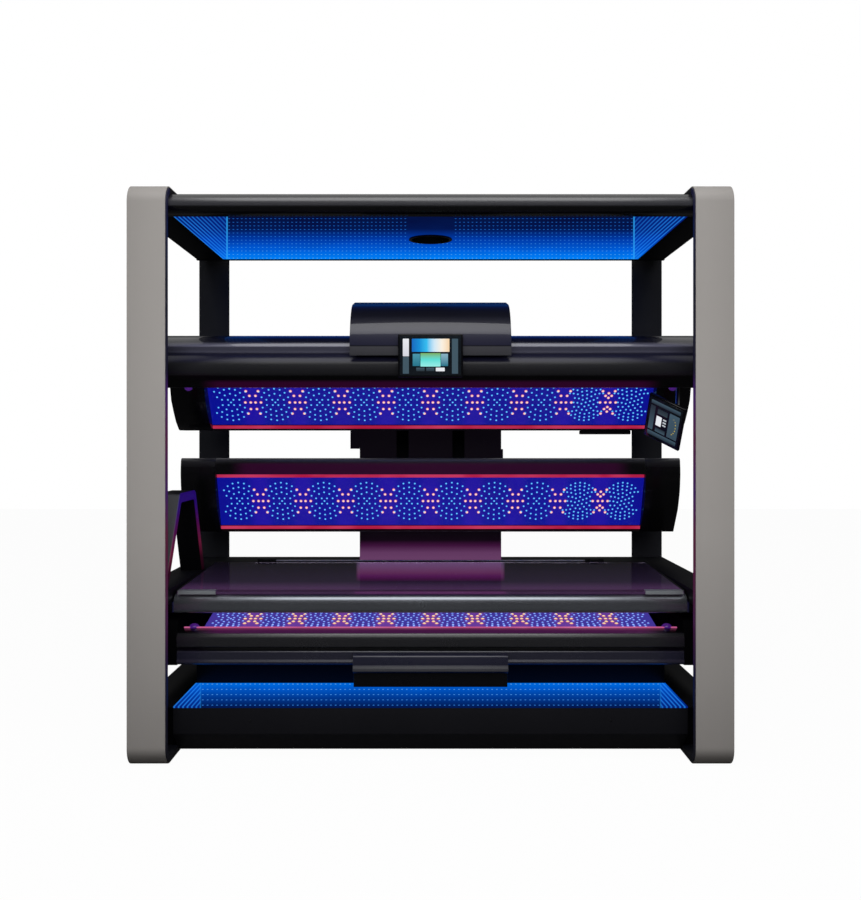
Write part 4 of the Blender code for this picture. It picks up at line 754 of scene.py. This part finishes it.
def slope(foot, top):
    """Foot, climbing direction, facing and length of a board, from the depth and height of foot and top."""
    start = at(0, *foot)
    up = (at(0, *top) - start).normalized()
    return start, up, Vector((0, -up.z, up.y)), (at(0, *top) - start).length


print("lamps stay within", round(FIELD, 4), "m of the middle")

# %% [markdown]
# The places of the four sloping faces are given as depth and height. The upper units have one row of discs
# each on the face that looks to the front, the canopy's ceiling two rows, and the bed four, of which the
# last is cut off by the hinge side.

# %% Set the lamps
BACK_FACE = ((0.952, 0.8805), (0.850, 1.112))
CANOPY_BEND = (0.632, 1.545)
CANOPY_FACE = ((0.7537, 1.3668), CANOPY_BEND)
CANOPY_CEILING = (CANOPY_BEND, (0.2353, 1.590))
BED_FACE = ((0.2136, 0.3886), (0.9217, 0.5132))
DENSE_FROM = DISCS - 2
for word, paint in (("canopy", BOARD), ("back_panel", BOARD), ("bed", BED_BOARD)):
    dress(word + "_lamp_board", paint, 0)
start, up, facing, long = slope(*BACK_FACE)
rows = [(start + up * long * 0.52, up, (-0.51 * long, 0.47 * long), DENSE_FROM)]
lamp_board("back_panel", "back_panel", rows, facing)
start, up, facing, long = slope(*CANOPY_FACE)
lamp_board("canopy_rear", "canopy", [(start + up * 0.124, up, (-0.117, long - 0.126), DENSE_FROM)], facing)
start, up, facing, _ = slope(*CANOPY_CEILING)
rows = [(start + up * place, up, (-0.098, 0.098), DISCS) for place in (0.105, 0.302)]
lamp_board("canopy_top", "canopy", rows, facing)
start, up, facing, _ = slope(*BED_FACE)
rows = [(start + up * place, up, (-0.100, 0.100), DISCS) for place in (0.115, 0.293, 0.473)]
rows.append((start + up * 0.651, up, (-0.100, 0.060), DISCS))
lamp_board("bed", "frame", rows, facing, (BED_BLUE, BED_BLUE_SIZE), (BED_WARM, BED_WARM_SIZE))

# %% [markdown]
# ## Red light strips
# Slim red strips frame the lamp boards. They are lit all along, and a faint mottling between a deep and a
# pale colour keeps the light from looking painted on.

# %% Light strips
def strip_paint(name, deep, pale):
    """A strip whose light drifts between a deep and a pale colour."""
    paint = Paint(name, Roughness=0.3, Emission_Strength=1.0, Specular_IOR_Level=0.1,
                  Base_Color=(0.05, 0.002, 0.006))
    haze = paint.noise(14.0, 2.0, (0.4, 1, 1)).within(0.3, 0.7)
    return paint.set(Emission_Color=paint.mix(haze, deep, pale))


RED = strip_paint("red_strip", (0.40, 0.010, 0.050), (0.54, 0.040, 0.11))
PINK = strip_paint("pink_strip", (0.44, 0.08, 0.21), (0.56, 0.15, 0.31))
for strip in ("canopy_light_strip", "back_panel_strip_upper", "back_panel_strip_lower"):
    dress(strip, RED, 0.002)
dress("bed_light_strip", PINK, 0.001)
print("four light strips")

# %% [markdown]
# ## Dots on the light panels
# The panels have rows of small bright dots. The rows fan out a little towards the rear, so the places come
# from a rule: a column keeps its share of the distance to a point in front of the bed.

# %% Dots
DOT_SIZE = (0.0046, 0.0024, 0.0012)
COLUMNS = 48
VENT_SHARE = 0.0225
VENT_REAR = 0.69
DOT_LIFT = 0.0001


def dots(word, paint, edge, rows, height, facing, clear):
    """Dots in columns out to an edge. The middle columns, up to clear, leave room for the vent."""
    points = []
    for depth in rows:
        reach = depth + FAN_DEPTH
        for index in range(-COLUMNS, COLUMNS + 1):
            share = index * edge / (COLUMNS + 0.5)
            if abs(share) < clear and depth < VENT_REAR:
                continue
            points.append(at(share * reach, depth, height))
    lamps(word + "_dots", points, facing, DOT_SIZE, paint, "frame")


def even_rows(first, last, count):
    """Depths that look evenly spaced from the front."""
    near = 1 / (first + FAN_DEPTH)
    far = 1 / (last + FAN_DEPTH)
    return [1 / (near + (far - near) * index / (count - 1)) - FAN_DEPTH for index in range(count)]


panel_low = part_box("roof_light_panel")[0].z
panel_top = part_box("base_light_panel")[1].z
roof_rows = even_rows(0.150, 1.075, 12)
base_rows = even_rows(0.130, 0.485, 5)
dots("roof", ROOF_DOT, ROOF_EDGE, roof_rows, panel_low - DOT_LIFT, (0, 0, -1), VENT_SHARE)
dots("base", BASE_DOT, BASE_EDGE, base_rows, panel_top + DOT_LIFT, (0, 0, 1), 0.0)

# %% [markdown]
# ## The clear bench sheet
# The person lies on a sheet of clear, slightly smoky acrylic. Acrylic lets light through, bends it a little
# and mirrors strongly at a flat angle. Transmission on the shader does all three; a faint noise in the
# roughness stands for fine wiping marks. The sheet also carries painted light: violet lamp light along its
# front edge, and a stronger painted reflection of the lit mast in the strip before the mast.

# %% Acrylic sheet
STRIP_EDGE = (0.295, 0.310)
STRIP_SPREAD = 0.055
FRONT_LAMP_LIGHT = ((0.0, (0.004, 0.0, 0.001)), (0.08, (0.033, 0.013, 0.040)), (0.12, (0.030, 0.012, 0.038)),
              (0.30, (0.006, 0.003, 0.010)))
MAST_REFLECTION = ((0.385, (0.026, 0.001, 0.022)), (0.485, (0.048, 0.004, 0.046)), (0.60, (0.064, 0.014, 0.050)),
             (0.70, (0.065, 0.023, 0.058)), (0.92, (0.055, 0.031, 0.071)), (1.0, (0.050, 0.030, 0.060)))
ACRYLIC = Paint("smoky_acrylic", Transmission_Weight=0.92, IOR=1.49, Metallic=0.0)
wiped = ACRYLIC.noise(4.0, 3.0, (1, 3, 1))
smoke = ACRYLIC.mix(wiped, (0.16, 0.13, 0.20), (0.22, 0.18, 0.26))
ACRYLIC.set(Base_Color=smoke, Roughness=wiped * 0.05 + 0.01)
low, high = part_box("bench_sheet")
behind = depth_share(ACRYLIC, (low.y - FRONT, high.y - FRONT))
at_ends = ACRYLIC.ramp(behind, *FRONT_LAMP_LIGHT, (1.0, UNLIT))
with_mast_reflection = ACRYLIC.ramp(behind, *FRONT_LAMP_LIGHT, *MAST_REFLECTION)
beside = ACRYLIC.place()[0].size() - behind * STRIP_SPREAD
# Painted light: violet lamp light near the front edge everywhere, and a painted reflection of the lit mast in
# the strip in front of it.
ACRYLIC.set(Emission_Strength=1.0, Emission_Color=ACRYLIC.mix(beside.within(*STRIP_EDGE), with_mast_reflection, at_ends))
dress("bench_sheet", ACRYLIC, 0.0)
print("acrylic sheet dressed")

# %% [markdown]
# ## Screens
# The canopy has a display in front and a tablet at one end. Their pictures are plain tiles: a menu of
# blocks in blues, teals and greys. Each tile is a thin slab over the glass with its own colours, kept in
# a colour attribute that the material shows as light.

# %% Screen glass and tiles
GLASS = moulded("screen_glass", (0.006, 0.009, 0.013), 0.09, grain=0.0, Coat_Weight=0.3)
dress("display_glass", GLASS, 0.0006)
dress("tablet_glass", GLASS, 0.0006)
TILE = Paint("screen_tiles", Roughness=0.2, Emission_Strength=1.0, Base_Color=(0.01, 0.01, 0.01))
TILE.set(Emission_Color=TILE.node("Attribute", {"attribute_name": "tint"}, out=0))
TILE_WALL = 0.0004
TILE_CUT = 0.006
TILE_GAP = 0.0002


def hand_over(name, work, paint, body, slot):
    """A piece from a finished bmesh, riding on a body."""
    mesh = bpy.data.meshes.new(name)
    work.to_mesh(mesh)
    work.free()
    mesh.materials.append(paint.material)
    piece = bpy.data.objects.new(name, mesh)
    scene.collection.objects.link(piece)
    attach(piece, body)
    return mesh


def screen(name, corner, right, down, tiles, body):
    """Tiles of (left, top, right, bottom, first colour, last colour), in shares of the screen.

    The colours run downwards, or to the right where a tile has one more value.
    """
    work = bmesh.new()
    color = work.loops.layers.float_color.new("tint")
    out = down.cross(right).normalized() * TILE_WALL
    cut = TILE_CUT
    for left, top, far, foot, first, last, *sideways in tiles:
        low, high, side = (left, far, right) if sideways else (top, foot, down)
        shape = [(left + cut, top), (far - cut, top), (far, top + cut), (far, foot - cut), (far - cut, foot),
                 (left + cut, foot), (left, foot - cut), (left, top + cut)]
        back = [work.verts.new(corner + right * u + down * v) for u, v in shape]
        face = [work.verts.new(vert.co + out) for vert in back]
        faces = [work.faces.new(face), work.faces.new(back[::-1])]
        for index in range(len(shape)):
            after = (index + 1) % len(shape)
            faces.append(work.faces.new((back[index], back[after], face[after], face[index])))
        for each in faces:
            for loop in each.loops:
                share = ((loop.vert.co - corner).dot(side) / side.length_squared - low) / (high - low)
                mixed = [a + (b - a) * share for a, b in zip(first, last)]
                loop[color] = (*mixed, 1)
    bmesh.ops.recalc_face_normals(work, faces=work.faces)
    hand_over(name, work, TILE, body, "screen_glass")
    print(name, "has", len(tiles), "tiles")


print("screen glass dressed")

# %% [markdown]
# The display shows a strip of bright scenery, made of tiles that run from one colour to the next, over a
# menu of teal and grey blocks.

# %% Display tiles
SLATE = (0.045, 0.085, 0.115)
DEEP = (0.012, 0.022, 0.030)
PALE = (0.80, 0.82, 0.86)
TEAL = (0.01, 0.16, 0.24)
AQUA = (0.10, 0.72, 0.66)
LEAF = (0.20, 0.42, 0.10)
SCENERY = [(0.0, 0.13, 0.50), (0.0, 0.26, 0.66), (0.03, 0.50, 0.86), (0.62, 0.80, 0.92), (0.95, 0.86, 0.74),
           (0.92, 0.66, 0.40)]
low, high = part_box("display_glass")
corner = Vector((low.x, low.y - TILE_GAP, high.z))
menu = [(0.046, 0.074, 0.146, 0.518, PALE, (0.66, 0.67, 0.74)), (0.046, 0.53, 0.146, 0.957, SLATE, SLATE),
        (0.336, 0.437, 0.665, 0.60, LEAF, AQUA), (0.336, 0.60, 0.665, 0.777, AQUA, (0.30, 0.85, 0.80)),
        (0.208, 0.455, 0.328, 0.765, (0.06, 0.30, 0.40), TEAL),
        (0.672, 0.455, 0.787, 0.765, (0.25, 0.45, 0.55), TEAL),
        (0.266, 0.805, 0.403, 0.896, SLATE, DEEP), (0.43, 0.805, 0.564, 0.896, SLATE, DEEP),
        (0.587, 0.805, 0.733, 0.896, PALE, PALE), (0.851, 0.074, 0.952, 0.957, SLATE, SLATE)]
SCENERY_LEFT = 0.194
SCENERY_WIDE = 0.617
slice_wide = SCENERY_WIDE / (len(SCENERY) - 1)
for index, colors in enumerate(zip(SCENERY, SCENERY[1:])):
    left = SCENERY_LEFT + index * slice_wide
    menu.append((left, 0.074, left + slice_wide, 0.407, *colors, True))
right = Vector((high.x - low.x, 0, 0))
down = Vector((0, 0, low.z - high.z))
screen("display_tiles", corner, right, down, menu, "canopy")

# %% [markdown]
# The tablet is tilted. The directions of its short and its long side are given, and the glass itself shows
# how far it reaches along them, and so where its corner is. A ring of small amber tiles is its dial.

# %% Tablet tiles
TABLET_ACROSS = Vector((0.7507, -0.4986, -0.4334))
TABLET_ALONG = Vector((0.0270, 0.6786, -0.7340))
AMBER = (0.70, 0.50, 0.05)
DARK_AMBER = (0.55, 0.40, 0.04)
DIAL = (0.70, 0.50)
DIAL_SIZE = (0.16, 0.22)
DIAL_TILE = 0.014
across = TABLET_ACROSS.normalized()
outward = -across.cross(TABLET_ALONG).normalized()
along = across.cross(outward)
glass = [vert.co for vert in nodes["tablet_glass"].data.vertices]
centre = sum(glass, Vector()) / len(glass)
half = [max((point - centre).dot(side) for point in glass) for side in (across, along, outward)]
corner = centre - across * half[0] - along * half[1] + outward * (half[2] + TILE_GAP)
panel = [(0.06, 0.06, 0.94, 0.15, SLATE, DEEP), (0.06, 0.19, 0.20, 0.80, DEEP, SLATE),
         (0.28, 0.22, 0.58, 0.34, DEEP, (0.03, 0.05, 0.06)), (0.27, 0.40, 0.43, 0.64, PALE, PALE),
         (0.28, 0.70, 0.58, 0.80, DEEP, SLATE), (0.64, 0.20, 0.94, 0.80, SLATE, (0.035, 0.065, 0.09)),
         (0.06, 0.84, 0.94, 0.94, SLATE, DEEP)]
panel += [(0.47, 0.42 + 0.07 * step, 0.57, 0.46 + 0.07 * step, PALE, SLATE) for step in range(3)]
for step in range(7):
    angle = math.radians(-60 + 20 * step)
    u = DIAL[0] + DIAL_SIZE[0] * math.cos(angle)
    v = DIAL[1] + DIAL_SIZE[1] * math.sin(angle)
    panel.append((u - DIAL_TILE, v - DIAL_TILE, u + DIAL_TILE, v + DIAL_TILE, AMBER, DARK_AMBER))
screen("tablet_tiles", corner, across * 2 * half[0], along * 2 * half[1], panel, "tablet")

# %% [markdown]
# ## Small trim
# Violet lenses sit at the ends of the canopy and of the tray, and two screws hold the front of the base.
# Each is turned: a short outline is spun about its axis and closed.

# %% Turned pieces
def turned(name, outline, place, axis, paint, body, slot, steps=24):
    """Spins an outline of (radius, height), which starts and ends at radius 0, about an axis at a place."""
    work = bmesh.new()
    chain = [work.verts.new((radius, 0, height)) for radius, height in outline]
    edges = [work.edges.new(pair) for pair in zip(chain, chain[1:])]
    bmesh.ops.spin(work, geom=chain + edges, cent=(0, 0, 0), axis=(0, 0, 1), angle=2 * math.pi, steps=steps)
    bmesh.ops.remove_doubles(work, verts=work.verts, dist=1e-6)
    bmesh.ops.recalc_face_normals(work, faces=work.faces)
    turn = Vector(axis).to_track_quat("Z", "Y").to_matrix().to_4x4()
    bmesh.ops.transform(work, matrix=Matrix.Translation(place) @ turn, verts=work.verts)
    mesh = hand_over(name, work, paint, body, slot)
    mesh.shade_smooth()
    mesh.set_sharp_from_angle(angle=math.radians(40))


def lens_outline(radius, tall):
    """A quarter of an oval on a flat foot."""
    turns = [math.radians(step) for step in range(0, 90, 10)]
    return [(0, 0)] + [(radius * math.cos(turn), tall * math.sin(turn)) for turn in turns] + [(0, tall)]


print("a lens outline has", len(lens_outline(1, 1)), "points")

# %% [markdown]
# The lenses glow a dim violet that drifts a little, and the screws have a small recess. Each comes in a left
# and a right one.

# %% Lenses and screws
VIOLET = Paint("violet_lens", Roughness=0.12, Emission_Strength=1.0, Coat_Weight=0.5)
depthwise = VIOLET.noise(30.0, 2.0)
VIOLET.set(Base_Color=VIOLET.mix(depthwise, (0.02, 0.004, 0.06), (0.05, 0.008, 0.12)))
VIOLET.set(Emission_Color=VIOLET.mix(depthwise, (0.020, 0.004, 0.075), (0.06, 0.010, 0.16)))
SCREW = moulded("screw_black", (0.03, 0.03, 0.033), 0.3, Metallic=0.8)
BED_LENS = lens_outline(0.022, 0.017)
CANOPY_LENS = lens_outline(0.016, 0.013)
SCREW_HEAD = [(0, 0), (0.0042, 0), (0.0042, 0.0012), (0.0034, 0.0022), (0.0018, 0.0024), (0.0018, 0.0009),
              (0, 0.0009)]
LENS_GAP = 0.0003
rim_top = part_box("bed_front_rim")[1].z
rim_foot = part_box("canopy_front_rim")[0].z
for word, side in (("left", -1), ("right", 1)):
    place = at(side * 0.981, 0.212, rim_top + LENS_GAP)
    turned("bed_lens_" + word, BED_LENS, place, (0, 0, 1), VIOLET, "frame", "black_plastic")
    place = at(side * 1.006, 0.213, rim_foot - LENS_GAP)
    turned("canopy_lens_" + word, CANOPY_LENS, place, (0, 0, -1), VIOLET, "canopy", "black_plastic")
    place = at(side * 0.732, 0.1098, 0.159)
    turned("fascia_screw_" + word, SCREW_HEAD, place, (0, -1, 0), SCREW, "frame", "steel", 18)
print("lenses and screws placed")

# %% [markdown]
# A bright angle holds the front corners of the bench sheet. It is one outline, drawn along the bed, and it
# rides on the lid.

# %% Corner angles
def drawn(name, outline, ends, paint, body, slot):
    """A closed bar: an outline of (depth, height) drawn along the bed between two places."""
    work = bmesh.new()
    rings = [[work.verts.new(at(x, *point)) for point in outline] for x in ends]
    work.faces.new(rings[0])
    work.faces.new(rings[1])
    for index in range(len(outline)):
        after = (index + 1) % len(outline)
        work.faces.new((rings[0][index], rings[0][after], rings[1][after], rings[1][index]))
    bmesh.ops.recalc_face_normals(work, faces=work.faces)
    hand_over(name, work, paint, body, slot)


BRIGHT = moulded("bright_angle", (0.29, 0.31, 0.335), 0.3, Metallic=0.5)
ANGLE = [(0.1700, 0.6618), (0.1747, 0.6618), (0.1747, 0.6734), (0.2040, 0.6745), (0.2040, 0.6775),
         (0.1720, 0.6765)]
ANGLE_INNER = 0.885
ANGLE_OUTER = 1.040
drawn("sheet_angle_left", ANGLE, (-ANGLE_OUTER, -ANGLE_INNER), BRIGHT, "bench_lid", "steel")
drawn("sheet_angle_right", ANGLE, (ANGLE_INNER, ANGLE_OUTER), BRIGHT, "bench_lid", "steel")
print("corner angles placed")

# %% [markdown]
# ## Studio
# The bed stands on a plain pale floor before a white backdrop. What the camera sees of the world is white;
# the light on the object itself is a dim grey from all around, a large soft lamp above the front and a
# weaker one behind the camera.

# %% Floor and world
FLOOR_HALF = 14.0


def floor():
    """A pale floor that the camera sees nearly white, with the shadow of the bed."""
    paint = Paint("studio_floor", Roughness=0.9, Specular_IOR_Level=0.0)
    faint = paint.noise(0.6, 2.0)
    paint.set(Base_Color=paint.mix(faint, (0.36, 0.36, 0.36), (0.40, 0.40, 0.40)))
    seen, mirrored = paint.rays()
    color = paint.mix(mirrored, (1.045, 1.045, 1.045), (0.03, 0.03, 0.032))
    shine = paint.node("Emission", sockets={"Color": color, "Strength": 1.0})
    share = seen.most(mirrored) * 0.93
    body = Amount(paint, paint.shader.outputs[0])
    both = paint.node("MixShader", sockets={0: share, 1: body, 2: shine})
    paint.tree.links.new(both.socket, paint.tree.nodes["Material Output"].inputs["Surface"])
    mesh = bpy.data.meshes.new("studio_floor")
    corners = [(-1, -1), (1, -1), (1, 1), (-1, 1)]
    mesh.from_pydata([(x * FLOOR_HALF, y * FLOOR_HALF, 0) for x, y in corners], [], [(0, 1, 2, 3)])
    mesh.materials.append(paint.material)
    ground = bpy.data.objects.new("studio_floor", mesh)
    ground.location.z = -0.001
    scene.collection.objects.link(ground)


def sky():
    """White where the camera sees it, a dim grey as light, and a soft ceiling in mirror images."""
    world = bpy.data.worlds.new("studio")
    scene.world = world
    world.use_nodes = True
    graph = Graph(world.node_tree)
    up = graph.axes(graph.node("TexCoord"))[2]
    tones = [(0.0, 0.012), (0.45, 0.03), (0.65, 0.25), (0.80, 0.85), (1.0, 1.0)]
    room = graph.ramp(up, *[(height, (tone, tone, tone)) for height, tone in tones])
    seen, mirrored = graph.rays()
    dim = graph.node("Background", sockets={0: (0.12, 0.12, 0.124), 1: 1.0})
    soft = graph.node("Background", sockets={0: room, 1: 1.1})
    white = graph.node("Background", sockets={0: (1.0, 1.0, 1.0), 1: 1.0})
    lit = graph.node("MixShader", sockets={0: mirrored, 1: dim, 2: soft})
    both = graph.node("MixShader", sockets={0: seen, 1: lit, 2: white})
    graph.tree.links.new(both.socket, graph.tree.nodes["World Output"].inputs[0])


floor()
sky()
print("floor and world made")

# %% [markdown]
# The upper lamp shows as a soft highlight in the glossy parts. The one behind the camera only fills the
# shadows, so mirror images leave it out.

# %% Lamps of the studio
def softbox(name, place, target, size, power):
    """A flat lamp at a place, turned to a target."""
    light = bpy.data.lights.new(name, "AREA")
    light.shape = "RECTANGLE"
    light.size, light.size_y = size
    light.energy = power
    lamp = bpy.data.objects.new(name, light)
    lamp.location = place
    lamp.rotation_euler = (Vector(target) - Vector(place)).to_track_quat("-Z", "Y").to_euler()
    scene.collection.objects.link(lamp)
    return lamp


softbox("top_front", (0, -2.4, 4.9), (0, -0.4, 1.2), (5.0, 2.2), 92)
softbox("front_fill", (0, -7.0, 4.0), (0, 0, 1.2), (7.0, 4.0), 305).visible_glossy = False
print("studio lit")

# %% [markdown]
# ## Camera
# The picture is taken from straight in front, 4.05 m from the frame and 1.31 m above the floor, with the
# camera level. The horizon lies a little above the middle of the picture, which a small shift gives.

# %% Camera
CAMERA_DISTANCE = 4.05
CAMERA_HEIGHT = 1.309
lens = bpy.data.cameras.new("camera")
lens.sensor_width = 36.0
lens.lens = 41.04
lens.shift_y = -0.0144
camera = bpy.data.objects.new("camera", lens)
camera.location = at(0, -CAMERA_DISTANCE, CAMERA_HEIGHT)
camera.rotation_euler = (math.pi / 2, 0, 0)
scene.collection.objects.link(camera)
scene.camera = camera
